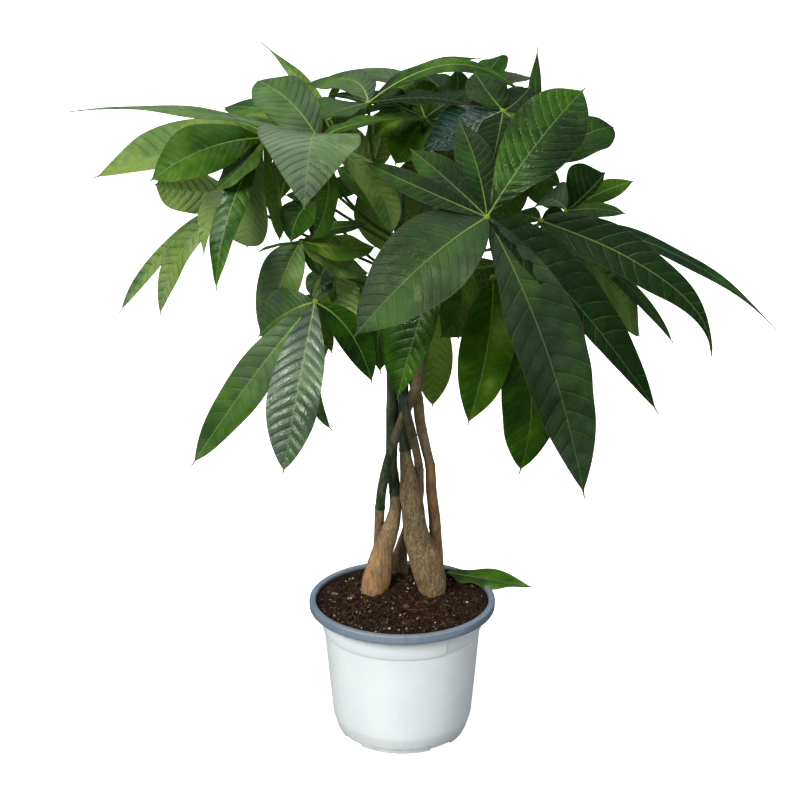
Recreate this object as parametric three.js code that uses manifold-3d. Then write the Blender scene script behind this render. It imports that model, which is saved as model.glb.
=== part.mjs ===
// A potted money tree: five stems plaited into one trunk, a crown of palmate leaves, and a
// round nursery pot filled with soil. Millimetres, +Z up, the front of the plant facing -Y.
// The origin is the centre of the pot's underside, where it stands.
import * as THREE from "three";
import { mergeVertices } from "three/addons/utils/BufferGeometryUtils.js";
import Module from "manifold-3d";

const wasm = await Module();
wasm.setup();

// ---------------------------------------------------------------- driving dimensions
const POT_HEIGHT = 130;
const RIM_RADIUS = 85; // the outside of the rolled rim
const RIM_LIP = 7; // how far the rim turns down
const RIM_TOP = 5.5; // width of the rim's flat top
const WALL = 1.6;
const FOOT_RADIUS = 58;
const FOOT_RING = 5;
const FLOOR_LIFT = 4; // the drained part of the floor stands this far off the ground
const PAD_RADIUS = 34; // the middle of the floor, which touches the ground
const DRAIN_RADIUS = 3.5;
const DRAIN_CIRCLE = 43;
const DRAIN_COUNT = 8;
const NOTCH_WIDTH = 24; // gaps in the foot ring that let water out
const NOTCH_COUNT = 4;
const TAPER_HEIGHT = 17; // the foot widens quickly up to here
const TAPER_RADIUS = 64;
const BAND_BOTTOM = 101; // the raised band under the rim
const BODY_RADIUS = 71.4; // just below the band
const NECK_RADIUS = 74.2; // just below the rim
const NECK_HEIGHT = 120;
const SOIL_EDGE = 125.6; // the soil reaches up to the inside of the rim
const SOIL_RADIUS = 77.8;
const SOIL_MOUND = 5.4; // how much higher the soil is round the stems
const MOUND_SPREAD = 34;
const MOUND_TOWARD = -24; // the stems stand a little behind the middle of the pot
const GAP = 0.35; // clearance between pieces that touch
const STALK_GAP = 0.6; // a stalk's flat end against the round of its stem
const ROUND_SIDES = 40;
const STEM_SIDES = 10;
const PETIOLE_RADIUS = 1.7;
const PETIOLE_SIDES = 5;
const HUB_RADIUS = 4.2; // where a leaf's leaflets meet
const BLADE_THICKNESS = 1.3; // at the midrib, fading to nothing at the edge
// The shape of a leaflet whose row says nothing else: how far along it is widest, how blunt its tip
// is (a square end at 0, a long thin point at 2), how much broader its left half is than its right,
// how far the halves rise from the midrib as a share of their width, and how many degrees the blade
// turns on either side of its middle.
const PLAIN_SHAPE = { widest: 0.56, blunt: 0.86, lean: 0, fold: 0.1, twist: 0 };

// ---------------------------------------------------------------- the front view
// The plant is laid out as it is seen from the front: a place is (across, down) in the 800 by
// 800 picture, and how far it stands toward the viewer from the pot's axis, in millimetres.
const PITCH = THREE.MathUtils.degToRad(18.07);
const VIEW = { x: -2, distance: 1500, height: 808.5, pitch: PITCH, focal: 1788, centre: 400 };

function at(across, down, toward) {
  const forward = new THREE.Vector3(0, Math.cos(VIEW.pitch), -Math.sin(VIEW.pitch));
  const up = new THREE.Vector3(0, Math.sin(VIEW.pitch), Math.cos(VIEW.pitch));
  const ray = forward
    .multiplyScalar(VIEW.focal)
    .addScaledVector(new THREE.Vector3(1, 0, 0), across - VIEW.centre)
    .addScaledVector(up, VIEW.centre - down);
  return new THREE.Vector3(VIEW.x, -VIEW.distance, VIEW.height).addScaledVector(ray, (VIEW.distance - toward) / ray.y);
}

// ---------------------------------------------------------------- the stems
// Each point is [across, down, toward, radius], from the root in the soil to the growing tip.
const STEMS = {
  left_front: [
    [366, 624, -16, 5], [369, 608, -16, 7], [371.5, 597, -16, 9.2], [374, 587, -16, 11.6],
    [376.6, 577, -16, 12.8], [379, 566, -16, 11.6], [382.6, 552, -17, 9.8], [387, 538, -17, 9.1],
    [391.8, 524, -20, 7.4], [395, 511, -22, 5.8], [395.4, 497, -24, 5.3], [393.8, 480, -25, 5.3],
    [391.6, 462, -26, 5.2], [392.2, 430, -28, 5.6], [392.4, 390, -25, 5.3], [391.6, 360, -27, 5.1],
    [390, 315, -28, 4.9], [397, 275, -36, 4.6], [400, 235, -44, 4.2], [398, 190, -50, 3.4],
  ],
  right_front: [
    [435.5, 628, -15, 5], [434.8, 610, -15, 6.5], [434, 600, -15, 9], [432.4, 589, -15, 12.2],
    [430, 578, -15, 14], [426, 565, -15, 14.5], [421.5, 551, -15, 13.8], [418, 538, -15, 12.4],
    [415.5, 525.7, -15, 11], [413, 509.6, -15, 10.6], [410.6, 494, -15, 9.6], [408.4, 476, -15, 7.6],
    [405.6, 456, -17, 5.5], [404, 435, -19, 5], [403.6, 405, -22, 4.6], [404, 380, -16, 4.5],
    [408, 350, -8, 4.5], [414, 320, 2, 4.4], [420, 285, 10, 4.3], [428, 250, 16, 4.1], [436, 215, 20, 3.8],
    [442, 185, 20, 3.2],
  ],
  middle: [
    [398, 612, -52, 9], [398.5, 590, -52, 9.4], [399, 572, -51, 8], [400.5, 552, -48, 6.4],
    [405.5, 534, -44, 4.9], [412, 515, -39, 4.4], [419, 497, -33, 4.1], [419.6, 478, -27, 4.1],
    [418, 460, -16, 3.9], [414.8, 445, -8, 3.9], [411.2, 430, -2, 4], [406, 411, 0, 4], [401, 393, -2, 4],
    [396, 374, -4, 4], [389, 348, -5, 4.2], [386, 320, -3, 4.2], [390, 285, 1, 4.1], [396, 250, 5, 4],
    [400, 215, 7, 3.7], [402, 185, 7, 3.1],
  ],
  left_back: [
    [376, 600, -42, 7], [376.5, 580, -41, 6.6], [377.5, 560, -39, 5.2], [378.5, 540, -34, 4.6],
    [379.5, 515, -26, 4.5], [381.5, 492, -17, 4.4], [386, 470, -9, 4.2], [391.5, 449, -5, 4],
    [397, 433, -6, 3.9], [403, 417, -9.5, 3.9], [410, 402, -11.5, 4.3], [416, 387, -12, 4.8],
    [419, 370, -14, 5], [422, 350, -16, 4.6], [428, 320, -20, 4.3], [440, 280, -22, 4.1],
    [453, 240, -24, 4], [463, 205, -26, 3.6], [469, 178, -28, 3],
  ],
  right_back: [
    [436, 598, -44, 7.5], [436, 575, -43, 7.4], [436, 550, -41, 6.2], [435, 525, -37, 5.6],
    [433, 505, -33, 5.2], [431, 487, -30, 5], [429.8, 465, -26, 4.8], [425.7, 447, -22, 4.6],
    [420.4, 424, -22, 4.8], [417.6, 400, -25, 4.9], [413.5, 378, -28, 4.8], [408.5, 350, -32, 4.5],
    [407, 325, -36, 4.4], [412, 285, -44, 4.3], [420, 240, -52, 4.1], [428, 195, -58, 3.7],
    [432, 165, -62, 3.1],
  ],
};

// ---------------------------------------------------------------- the leaves
// A leaf is [name, stem, how far up the stem its stalk leaves, hub, the way its top side faces
// as [across, toward, up], leaflets]. A leaflet is [middle of the midrib across and down, tip
// across, down and toward, how far the middle stands nearer than its ends, width, and the turn
// of its blade about the midrib in degrees], and then any shape of its own.
const LEAVES = [
  ["front_right", "right_front", 0.9, [487, 217, 150], [0.08, 0.76, 0.64], [
    [421, 266, 354, 337, 178, 8, 68, 0, { widest: 0.46, fold: 0.1 }],
    [547, 352, 584.5, 498.5, 150, 10, 59, 0, { widest: 0.51, blunt: 0.9, lean: 0.14, fold: 0.12 }],
    [577.5, 305, 658.5, 414, 106, 12, 41, 0, { widest: 0.44, lean: 0.36 }],
    [535, 146, 585, 88, 104, 8, 57, 0, { fold: 0.12, widest: 0.62 }], [477, 167, 459, 121, 84, 6, 31, 0],
    [448, 181, 410, 149, 104, 6, 28, 0, { widest: 0.6 }], [424, 190, 363, 161, 122, 8, 22, 0]]],
  ["low_left", "middle", 0.72, [315, 302, 120], [-0.2, 0.9, 0.4], [
    [256, 373.5, 191.5, 466, 118, 12, 34, 0, { blunt: 0.74 }],
    [298.5, 386, 282.5, 474.5, 172, 10, 43, 0, { lean: -0.08, blunt: 0.78 }],
    [285, 314, 258, 337, 66, 20, 34, 0, { lean: -0.3 }], [350, 332, 372, 383, 104, 8, 27, 0],
    [311, 382, 332, 430, 78, 6, 14, 0], [324, 326, 332, 354, 96, 4, 12, 0]]],
  ["upper_left", "middle", 0.9, [318, 139, 100], [-0.1, 0.45, 0.88], [
    [311, 143, 304, 210, 185, 20, 78, -10, { widest: 0.34, lean: -0.06, fold: 0.06 }],
    [289, 101, 256, 80, 60, 8, 47, 0, { lean: 0.05, blunt: 0.7 }],
    [190, 111, 68, 112, 92, 6, 24, 20, { widest: 0.42, blunt: 1.5, fold: 0.1 }],
    [372, 121, 436, 118, -16, 8, 30, -12], [268, 112, 224, 108, -20, 0, 40, 0],
    [374, 184, 392, 236, 128, 10, 27, 0, { widest: 0.6 }], [328, 192, 311, 240, 66, 8, 36, 0]]],
  ["crown_left", "middle", 0.97, [368, 103, 0], [-0.1, 0.2, 0.97], [
    [452, 64, 523, 94, -52, 6, 20, 20, { fold: 0.1, lean: -0.1 }],
    [350, 80, 303, 85, -70, 4, 46, 0, { lean: 0.2 }], [342, 110, 316, 120, 40, 6, 48, 0, { lean: -0.3 }],
    [351, 97, 330, 94, -10, 2, 14, 0], [420, 98, 468, 106, 40, 4, 28, 0],
    [428, 67, 482, 59, -110, 4, 27, 0]]],
  ["crown_right", "left_back", 0.97, [503, 111, 50], [0, 0.5, 0.86], [
    [463, 128, 421, 150, 50, 4, 46, 0, { lean: -0.2 }], [499, 133, 494, 157, 92, 6, 36, 0],
    [488, 92, 474, 71, 10, 4, 34, 0], [516, 102, 531, 86, 10, 4, 32, 0],
    [511, 118, 518, 128, 66, 2, 12, 0]]],
  ["high_right", "left_back", 0.92, [533, 168, -40], [0.3, 0, 0.95], [
    [535, 100, 537.5, 47, -64, 4, 23, 0, { widest: 0.5, blunt: 1.5 }],
    [579, 138, 614, 127, -76, 6, 41, 30, { widest: 0.56, blunt: 0.7, lean: -0.1 }],
    [546, 176, 561, 185, -30, 2, 18, 50]]],
  ["right_tuft", "left_back", 0.88, [567, 211, 14], [0.3, 0.75, 0.6], [
    [588, 192, 605, 173, 10, 14, 30, 0, { widest: 0.62, lean: 0.7 }], [600, 193, 634, 181, -36, 4, 19, 0],
    [550, 199, 531, 209, -20, 4, 32, 0, { lean: -0.4 }],
    [597, 209, 626, 214, 62, 4, 16, 20, { widest: 0.45, lean: -0.2 }]]],
  ["far_right", "left_back", 0.84, [541, 221, 70], [0.45, 0.45, 0.77], [
    [669, 284, 711, 356, 112, 14, 43, 22, { widest: 0.22, blunt: 1.5 }],
    [673, 253, 777, 330, 40, 6, 19, 0, { widest: 0.45, blunt: 1.2 }],
    [608, 282, 641, 337, 28, 8, 47, 10, { widest: 0.66 }], [627, 285, 673, 344, -8, 8, 15, 20],
    [529, 216, 515, 215, 40, 2, 17, -50], [552, 214, 564, 212, 44, 2, 12, 40]]],
  ["low_right", "right_front", 0.8, [493, 278, 96], [0.2, 0.9, 0.4], [
    [487, 350, 467.5, 425, 96, 10, 47, 0, { widest: 0.5 }],
    [530, 374, 519, 474, 62, 10, 56, 0, { widest: 0.62, lean: 0, blunt: 0.78 }]]],
  ["centre", "right_front", 0.86, [447, 252, 92], [-0.3, 0.85, 0.45], [
    [419, 322, 397, 400, 112, 10, 46, 0, { lean: -0.34 }], [462, 300, 440, 338, 60, 8, 44, 0],
    [388, 302, 381, 374, 70, 10, 48, 0]]],
  ["behind_stems", "right_back", 0.8, [440, 290, -66], [0, 0.9, 0.4], [
    [431, 350, 433, 408, -72, 6, 35, 0, { widest: 0.6, lean: 0.15 }],
    [448, 308, 459, 339, -52, 4, 24, 0]]],
  ["left_inner", "middle", 0.78, [301, 241, 46], [-0.3, 0.5, 0.8], [
    [281, 284, 264, 345, 34, 10, 40, -30, { widest: 0.5, lean: -0.1 }], [276, 245, 258, 252, 84, 2, 5, 0],
    [338, 248, 376, 247, 30, 4, 34, 0], [337, 263, 369, 273, 20, 4, 35, 0, { widest: 0.46 }],
    [312, 259, 322, 276, 36, 2, 13, 0], [335, 229, 368, 224, 40, 4, 16, 0]]],
  ["left_shade", "left_front", 0.76, [330, 262, -30], [-0.2, 0.7, 0.6], [
    [336, 300, 346, 340, 10, 6, 46, 0], [319, 280, 317, 299, -10, 4, 24, 0],
    [349, 291, 371, 318, 0, 6, 36, 0]]],
  ["centre_inner", "left_front", 0.92, [392, 222, -8], [-0.4, 0.3, 0.86], [
    [365, 189, 336, 167, -70, 8, 30, 0, { lean: -0.3 }]]],
  ["far_left", "left_front", 0.88, [264, 138, 40], [-0.35, 0.3, 0.88], [
    [179, 151, 94, 178, 6, 10, 38, -36, { widest: 0.5, lean: -0.4 }],
    [205, 149, 149, 181, 62, 8, 48, -34, { lean: 0 }],
    [229, 215, 216, 291, 106, 10, 25, -20, { twist: 34, widest: 0.56 }],
    [247.5, 202, 247, 248, 34, 8, 43, -40, { widest: 0.7, blunt: 0.55 }],
    [276, 200, 279, 241, 10, 6, 24, -40, { lean: -0.3 }], [241, 168, 216, 190, 74, 6, 35, 0]]],
  ["low_far_left", "left_front", 0.82, [240, 192, -26], [-0.5, 0.3, 0.8], [
    [187, 191, 155, 184, 4, 4, 46, -46, { widest: 0.56 }],
    [212, 206, 204, 258, 36, 6, 23, -20, { widest: 0.42, blunt: 1.1 }],
    [171, 244, 119, 313, -70, 10, 18, -24, { widest: 0.68 }], [181, 252, 160, 316, -34, 8, 24, -34]]],
  ["crown_back", "right_back", 0.97, [450, 118, -80], [0, 0.2, 0.97], [
    [486, 75, 502, 55, -100, 4, 32, 0, { widest: 0.62 }], [500, 81, 531, 79, -120, 4, 36, 0],
    [386, 77, 320, 79, -110, 4, 38, 0], [500, 99, 524, 86, -70, 2, 26, 0],
    [440, 90, 420, 74, -120, 4, 40, 0], [457, 96, 457, 68, -98, 4, 28, 0],
    [490, 100, 520, 96, -100, 4, 36, 0]]],
  ["crown_back_left", "left_front", 0.97, [330, 118, -96], [-0.4, 0.2, 0.9], [
    [299, 79, 261, 42, -130, 4, 14, 0, { widest: 0.42, blunt: 1.9 }],
    [354, 111, 384, 109, -78, 2, 24, 0]]],
  ["under_left", "middle", 0.83, [322, 196, 24], [-0.2, 0.5, 0.85], [
    [301, 212, 291, 243, 50, 6, 36, 0], [318, 216, 314, 246, 12, 6, 30, 0],
    [304, 196, 285, 195, 34, 2, 15, 0]]],
  ["crown_inner", "right_back", 0.93, [425, 118, -20], [0, 0.4, 0.9], [
    [398, 122, 374, 136, 0, 6, 42, 0], [411, 139, 395, 165, 20, 6, 38, 0],
    [448, 102, 472, 90, -44, 6, 40, 0], [418, 96, 412, 78, -60, 4, 40, 0],
    [438, 134, 446, 152, 10, 4, 30, 0], [393, 102, 371, 90, -40, 4, 36, 0]]],
  ["back_high_left", "left_front", 0.95, [322, 112, -120], [-0.4, -0.6, 0.7], [
    [292, 122, 262, 148, -160, -8, 38, 0], [296, 150, 280, 202, -176, -14, 42, 0],
    [318, 170, 314, 236, -160, -14, 36, 0], [340, 122, 356, 134, -156, -8, 30, 0],
    [336, 92, 346, 80, -150, -6, 34, 0]]],
  ["back_middle_left", "left_front", 0.88, [368, 176, -150], [-0.3, -0.85, 0.4], [
    [344, 186, 322, 198, -200, -10, 36, 0], [372, 214, 392, 256, -206, -12, 34, 0],
    [398, 202, 424, 236, -216, -12, 42, 0], [380, 140, 390, 104, -190, -8, 38, 0],
    [352, 148, 330, 128, -170, -8, 34, 0]]],
  ["back_middle", "right_back", 0.9, [432, 150, -170], [0, -0.85, 0.5], [
    [408, 136, 372, 130, -220, -10, 42, 0], [416, 186, 404, 236, -256, -16, 48, 0],
    [440, 196, 444, 256, -262, -16, 50, 0], [464, 186, 486, 232, -246, -14, 48, 0],
    [468, 142, 500, 140, -220, -10, 40, 0], [440, 116, 446, 84, -180, -6, 36, 0]]],
  ["back_right", "left_back", 0.93, [520, 146, -130], [0.4, -0.75, 0.5], [
    [548, 128, 582, 122, -150, -8, 40, 0], [536, 186, 552, 210, -190, -14, 34, 0],
    [506, 186, 492, 240, -216, -14, 46, 0], [492, 156, 460, 176, -200, -10, 42, 0],
    [518, 116, 516, 90, -140, -6, 34, 0]]],
  ["back_low_right", "right_back", 0.84, [500, 262, -150], [0.3, -0.88, 0.35], [
    [486, 312, 474, 366, -200, -12, 44, 0], [512, 320, 528, 376, -196, -12, 48, 0],
    [540, 300, 572, 346, -176, -10, 46, 0], [548, 260, 596, 268, -150, -8, 42, 0],
    [470, 280, 446, 312, -176, -8, 38, 0]]],
  ["back_low_middle", "right_back", 0.76, [412, 270, -140], [0, -0.9, 0.4], [
    [398, 318, 394, 362, -186, -12, 42, 0], [424, 312, 436, 350, -190, -10, 42, 0],
    [388, 284, 366, 306, -160, -8, 36, 0], [446, 270, 474, 292, -170, -8, 38, 0]]],
  ["back_low_left", "left_front", 0.78, [334, 292, -120], [-0.4, -0.85, 0.35], [
    [304, 306, 276, 326, -150, -8, 34, 0], [302, 342, 278, 396, -170, -12, 42, 0],
    [312, 342, 302, 390, -176, -10, 40, 0], [352, 326, 372, 356, -160, -8, 36, 0],
    [352, 286, 378, 300, -150, -6, 30, 0]]],
  ["back_side_left", "left_front", 0.9, [282, 146, -80], [-0.8, -0.3, 0.5], [
    [244, 146, 208, 158, -100, -6, 36, 0], [258, 176, 240, 222, -130, -8, 40, 0],
    [278, 168, 276, 200, -160, -10, 36, 0], [256, 128, 232, 122, -130, -6, 34, 0]]],
  ["back_side_right", "left_back", 0.8, [568, 246, -56], [0.8, -0.4, 0.4], [
    [604, 242, 644, 262, -90, -6, 42, 0], [596, 268, 622, 306, -116, -8, 40, 0],
    [564, 290, 560, 344, -146, -10, 44, 0], [540, 272, 516, 306, -140, -8, 38, 0]]],
];

const FALLEN = {
  base: [447, 572, -56], middle: [482, 578, -39], tip: [534, 587, -22], faces: [0.05, 0.12, 1], width: 34,
};

// ---------------------------------------------------------------- making solids
function solidOf(geometry) {
  const bare = geometry.index ? geometry.toNonIndexed() : geometry.clone();
  bare.deleteAttribute("normal");
  bare.deleteAttribute("uv");
  const merged = mergeVertices(bare, 1e-3);
  return new wasm.Manifold(
    new wasm.Mesh({
      numProp: 3,
      vertProperties: new Float32Array(merged.attributes.position.array),
      triVerts: new Uint32Array(merged.index.array),
    }),
  );
}

function geometryOf(solid) {
  const mesh = solid.getMesh();
  return new THREE.BufferGeometry()
    .setAttribute("position", new THREE.BufferAttribute(new Float32Array(mesh.vertProperties), 3))
    .setIndex(new THREE.BufferAttribute(new Uint32Array(mesh.triVerts), 1));
}

// Closes a row of rings, each with the same number of points, into one skin.
function skin(rings, startPoint, endPoint) {
  const sides = rings[0].length;
  const points = rings.flat().concat([startPoint, endPoint]);
  const start = points.length - 2;
  const end = points.length - 1;
  const faces = [];
  for (let s = 0; s < sides; s++) {
    const n = (s + 1) % sides;
    faces.push(start, n, s);
    for (let r = 0; r < rings.length - 1; r++) {
      const a = r * sides + s;
      const b = r * sides + n;
      faces.push(a, b, a + sides, b, b + sides, a + sides);
    }
    const last = (rings.length - 1) * sides;
    faces.push(last + s, last + n, end);
  }
  const geometry = new THREE.BufferGeometry().setFromPoints(points);
  geometry.setIndex(faces);
  return geometry;
}

// A round rod along a curve, with the radius given by a function of the way along it.
function rod(curve, radiusAt, sides, steps) {
  const frames = curve.computeFrenetFrames(steps, false);
  const rings = [];
  for (let i = 0; i <= steps; i++) {
    const centre = curve.getPointAt(i / steps);
    rings.push(
      Array.from({ length: sides }, (_, s) => {
        const angle = (2 * Math.PI * s) / sides;
        return centre
          .clone()
          .addScaledVector(frames.normals[i], radiusAt(i / steps) * Math.cos(angle))
          .addScaledVector(frames.binormals[i], radiusAt(i / steps) * Math.sin(angle));
      }),
    );
  }
  return skin(rings, curve.getPointAt(0), curve.getPointAt(1));
}

function material(colour, roughness) {
  return new THREE.MeshStandardMaterial({ color: colour, roughness, metalness: 0 });
}

const COLOURS = {
  pot: material(0xe4e8ea, 0.45),
  soil: material(0x3a2a20, 0.95),
  bark: material(0x8a7355, 0.85),
  leaf: material(0x2f5a26, 0.4),
};

const plant = new THREE.Group();
function addNode(name, solid, colour) {
  const mesh = new THREE.Mesh(geometryOf(solid), colour);
  mesh.name = name;
  plant.add(mesh);
}

// ---------------------------------------------------------------- pot and soil
// Lathe profiles are [radius, height], from the axis and back to it.
function turned(profile) {
  const geometry = new THREE.LatheGeometry(profile.map(([r, z]) => new THREE.Vector2(r, z)), ROUND_SIDES);
  return geometry.rotateX(Math.PI / 2);
}

function makePot() {
  const top = POT_HEIGHT;
  const ringInside = FOOT_RADIUS - FOOT_RING;
  const floorTop = FLOOR_LIFT + 1.8;
  const collar = RIM_RADIUS - 2.6;
  const profile = [
    // the underside, from the middle out
    [0, 0], [PAD_RADIUS, 0], [PAD_RADIUS + 2, FLOOR_LIFT], [ringInside - 1, FLOOR_LIFT], [ringInside, 0],
    // up the outside
    [FOOT_RADIUS, 0], [FOOT_RADIUS + 1.4, 5], [TAPER_RADIUS, TAPER_HEIGHT], [BODY_RADIUS, BAND_BOTTOM],
    [BODY_RADIUS + 1.2, BAND_BOTTOM + 0.8], [NECK_RADIUS, NECK_HEIGHT], [collar, top - 7.5],
    // round the rim
    [collar, top - RIM_LIP - 1], [RIM_RADIUS - 0.6, top - RIM_LIP - 1], [RIM_RADIUS, top - 1.2],
    [RIM_RADIUS - 1.4, top], [RIM_RADIUS - RIM_TOP, top],
    // down the inside
    [RIM_RADIUS - RIM_TOP - 1.2, top - 5.6], [NECK_RADIUS - WALL, NECK_HEIGHT + 1.6], [BODY_RADIUS - WALL, BAND_BOTTOM],
    [TAPER_RADIUS - WALL, TAPER_HEIGHT], [FOOT_RADIUS + 1.4 - WALL, floorTop + 1.2], [FOOT_RADIUS - 2, floorTop], [0, floorTop],
  ];
  let pot = solidOf(turned(profile));
  for (let i = 0; i < DRAIN_COUNT; i++) {
    const turn = ((i + 0.5) * 2 * Math.PI) / DRAIN_COUNT;
    const hole = new THREE.CylinderGeometry(DRAIN_RADIUS, DRAIN_RADIUS, 12, 10).rotateX(Math.PI / 2);
    hole.translate(DRAIN_CIRCLE * Math.cos(turn), DRAIN_CIRCLE * Math.sin(turn), FLOOR_LIFT);
    pot = pot.subtract(solidOf(hole));
  }
  for (let i = 0; i < NOTCH_COUNT; i++) {
    const notch = new THREE.BoxGeometry(16, NOTCH_WIDTH, FLOOR_LIFT * 2 - 1.6);
    notch.translate(FOOT_RADIUS + 1, 0, 0).rotateZ(((i + 0.5) * 2 * Math.PI) / NOTCH_COUNT - 0.12);
    pot = pot.subtract(solidOf(notch));
  }
  return pot;
}

function soilHeight(x, y) {
  const away = Math.hypot(x, y + MOUND_TOWARD);
  return SOIL_EDGE + SOIL_MOUND * Math.exp(-((away / MOUND_SPREAD) ** 2));
}

function makeSoil(stemSolids) {
  const floor = FLOOR_LIFT + 1.8 + GAP;
  const inside = WALL + GAP;
  const surface = [SOIL_RADIUS, 70, 58, 44, 30, 15, 0].map((r) => [r, SOIL_EDGE]);
  const geometry = turned([
    [0, floor], [FOOT_RADIUS - 3, floor], [TAPER_RADIUS - inside, TAPER_HEIGHT], [BODY_RADIUS - inside, BAND_BOTTOM],
    // over the ledge inside the rim
    [NECK_RADIUS - inside - GAP, NECK_HEIGHT + 2], [SOIL_RADIUS, SOIL_EDGE - 0.9], ...surface,
  ]);
  const place = geometry.attributes.position;
  for (let i = 0; i < place.count; i++) {
    if (place.getZ(i) > SOIL_EDGE - 0.5) place.setZ(i, soilHeight(place.getX(i), place.getY(i)));
  }
  // Each stem's socket is a little wider and deeper than the stem.
  const sockets = stemSolids.map((stem) => stem.add(stem.translate([0, 0, -GAP])));
  return sockets.reduce((soil, socket) => soil.subtract(socket), solidOf(geometry));
}

// ---------------------------------------------------------------- stems
function stemParts(route) {
  const curve = new THREE.CatmullRomCurve3(route.map(([a, d, t]) => at(a, d, t)), false, "centripetal");
  // Radii are known at the route's points, so the way along the curve is matched to them.
  const lengths = curve.getLengths(route.length * 20 - 20);
  const marks = route.map((_, i) => lengths[i * 20] / lengths.at(-1));
  const radiusAt = (along) => {
    const next = Math.max(1, marks.findIndex((m) => m >= along));
    const share = (along - marks[next - 1]) / (marks[next] - marks[next - 1]);
    return THREE.MathUtils.lerp(route[next - 1][3], route[next][3], share);
  };
  return { curve, radiusAt };
}

const stems = Object.fromEntries(Object.entries(STEMS).map(([name, route]) => [name, stemParts(route)]));

function stemSolid({ curve, radiusAt }, extra) {
  return solidOf(rod(curve, (along) => radiusAt(Math.min(along, 1)) + extra, STEM_SIDES, 26));
}

// ---------------------------------------------------------------- leaves
// Half the width of a leaflet, as a share of its full half width, with a drawn-out point.
function outline(along, widest, blunt) {
  const rise = (blunt * widest) / (1 - widest);
  const share = along ** rise * (1 - along) ** blunt;
  const point = 1 - 0.5 * (Math.max(0, along - 0.7) / 0.3) ** 2;
  return (point * share) / (widest ** rise * (1 - widest) ** blunt);
}

function leafletGeometry(hub, middle, tip, faces, width, turn, shape = {}) {
  const { widest, blunt, lean, fold, twist } = { ...PLAIN_SHAPE, ...shape };
  const pull = middle.clone().multiplyScalar(2).addScaledVector(hub, -0.5).addScaledVector(tip, -0.5);
  const midrib = new THREE.QuadraticBezierCurve3(hub, pull, tip);
  const chord = tip.clone().sub(hub).normalize();
  const level = faces.clone().addScaledVector(chord, -faces.dot(chord)).normalize();
  const stations = [0.03, 0.16, 0.36, 0.58, 0.78, 0.93];
  const rings = stations.map((along) => {
    const centre = midrib.getPoint(along);
    const run = midrib.getTangent(along);
    const lift = level.clone().applyAxisAngle(chord, THREE.MathUtils.degToRad(turn + twist * (2 * along - 1)));
    const above = lift.clone().addScaledVector(run, -lift.dot(run)).normalize();
    const side = above.clone().cross(run);
    const half = Math.max(1.2, (width / 2) * outline(along, widest, blunt));
    const [left, right] = [half * (1 + lean), half * (1 - lean)];
    const thick = (BLADE_THICKNESS / 2) * (1 - 0.5 * along);
    return [
      centre.clone().addScaledVector(side, left).addScaledVector(above, fold * left),
      centre.clone().addScaledVector(above, thick),
      centre.clone().addScaledVector(side, -right).addScaledVector(above, fold * right),
      centre.clone().addScaledVector(above, -thick),
    ];
  });
  return skin(rings, hub, tip);
}

const facing = ([across, toward, up]) => new THREE.Vector3(across, -toward, up).normalize();

// The stalk leaves its stem square to it, and curves up to the underside of the hub.
function stalkCurve(stem, height, hub, faces) {
  const onStem = stem.curve.getPointAt(height);
  const run = stem.curve.getTangentAt(height);
  const out = hub.clone().sub(onStem);
  out.addScaledVector(run, -out.dot(run)).normalize();
  const start = onStem.clone().addScaledVector(out, stem.radiusAt(height) + STALK_GAP);
  const reach = start.distanceTo(hub);
  return new THREE.CubicBezierCurve3(
    start,
    start.clone().addScaledVector(out, 0.3 * reach).addScaledVector(run, 0.12 * reach),
    hub.clone().addScaledVector(faces, -0.3 * reach),
    hub,
  );
}

function leafSolid(stem, height, hub, faces, leaflets) {
  const stalk = rod(stalkCurve(stem, height, hub, faces), () => PETIOLE_RADIUS, PETIOLE_SIDES, 5);
  const knot = new THREE.IcosahedronGeometry(HUB_RADIUS, 0).translate(hub.x, hub.y, hub.z);
  const blades = leaflets.map(([middle, tip, ...own]) => leafletGeometry(hub, middle, tip, faces, ...own));
  const whole = [stalk, knot, ...blades].map(solidOf).reduce((all, piece) => all.add(piece));
  // Only the outer skin is kept, so no bubble is left shut in where the blades meet.
  return whole.decompose().reduce((most, piece) => (piece.volume() > most.volume() ? piece : most));
}

// ---------------------------------------------------------------- the whole plant
addNode("pot", makePot(), COLOURS.pot);
addNode("soil", makeSoil(Object.values(stems).map((stem) => stemSolid(stem, GAP))), COLOURS.soil);
for (const [name, stem] of Object.entries(stems)) addNode(`stem_${name}`, stemSolid(stem, 0), COLOURS.bark);

for (const [name, stem, height, hub, faces, leaflets] of LEAVES) {
  const blades = leaflets.map(([midAcross, midDown, tipAcross, tipDown, toward, nearer, ...own]) => [
    at(midAcross, midDown, (hub[2] + toward) / 2 + nearer),
    at(tipAcross, tipDown, toward),
    ...own,
  ]);
  addNode(`leaf_${name}`, leafSolid(stems[stem], height, at(...hub), facing(faces), blades), COLOURS.leaf);
}

// A loose leaflet rests on the rim at the back right, its base down on the soil.
const fallenLine = [FALLEN.base, FALLEN.middle, FALLEN.tip].map((place) => at(...place));
const fallen = leafletGeometry(...fallenLine, facing(FALLEN.faces), FALLEN.width, 0);
addNode("fallen_leaflet", solidOf(fallen), COLOURS.leaf);

export default plant;
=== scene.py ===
"""A potted money tree, dressed round its CAD frame: a moulded pot, crumbly soil, five barked stems
plaited into one trunk, and palmate leaves with ribs, veins and quilted blades.

Lengths are millimetres while shapes are worked out, and metres once they are meshes. +Z is up and
the front of the plant faces -Y.
"""

import math

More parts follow.
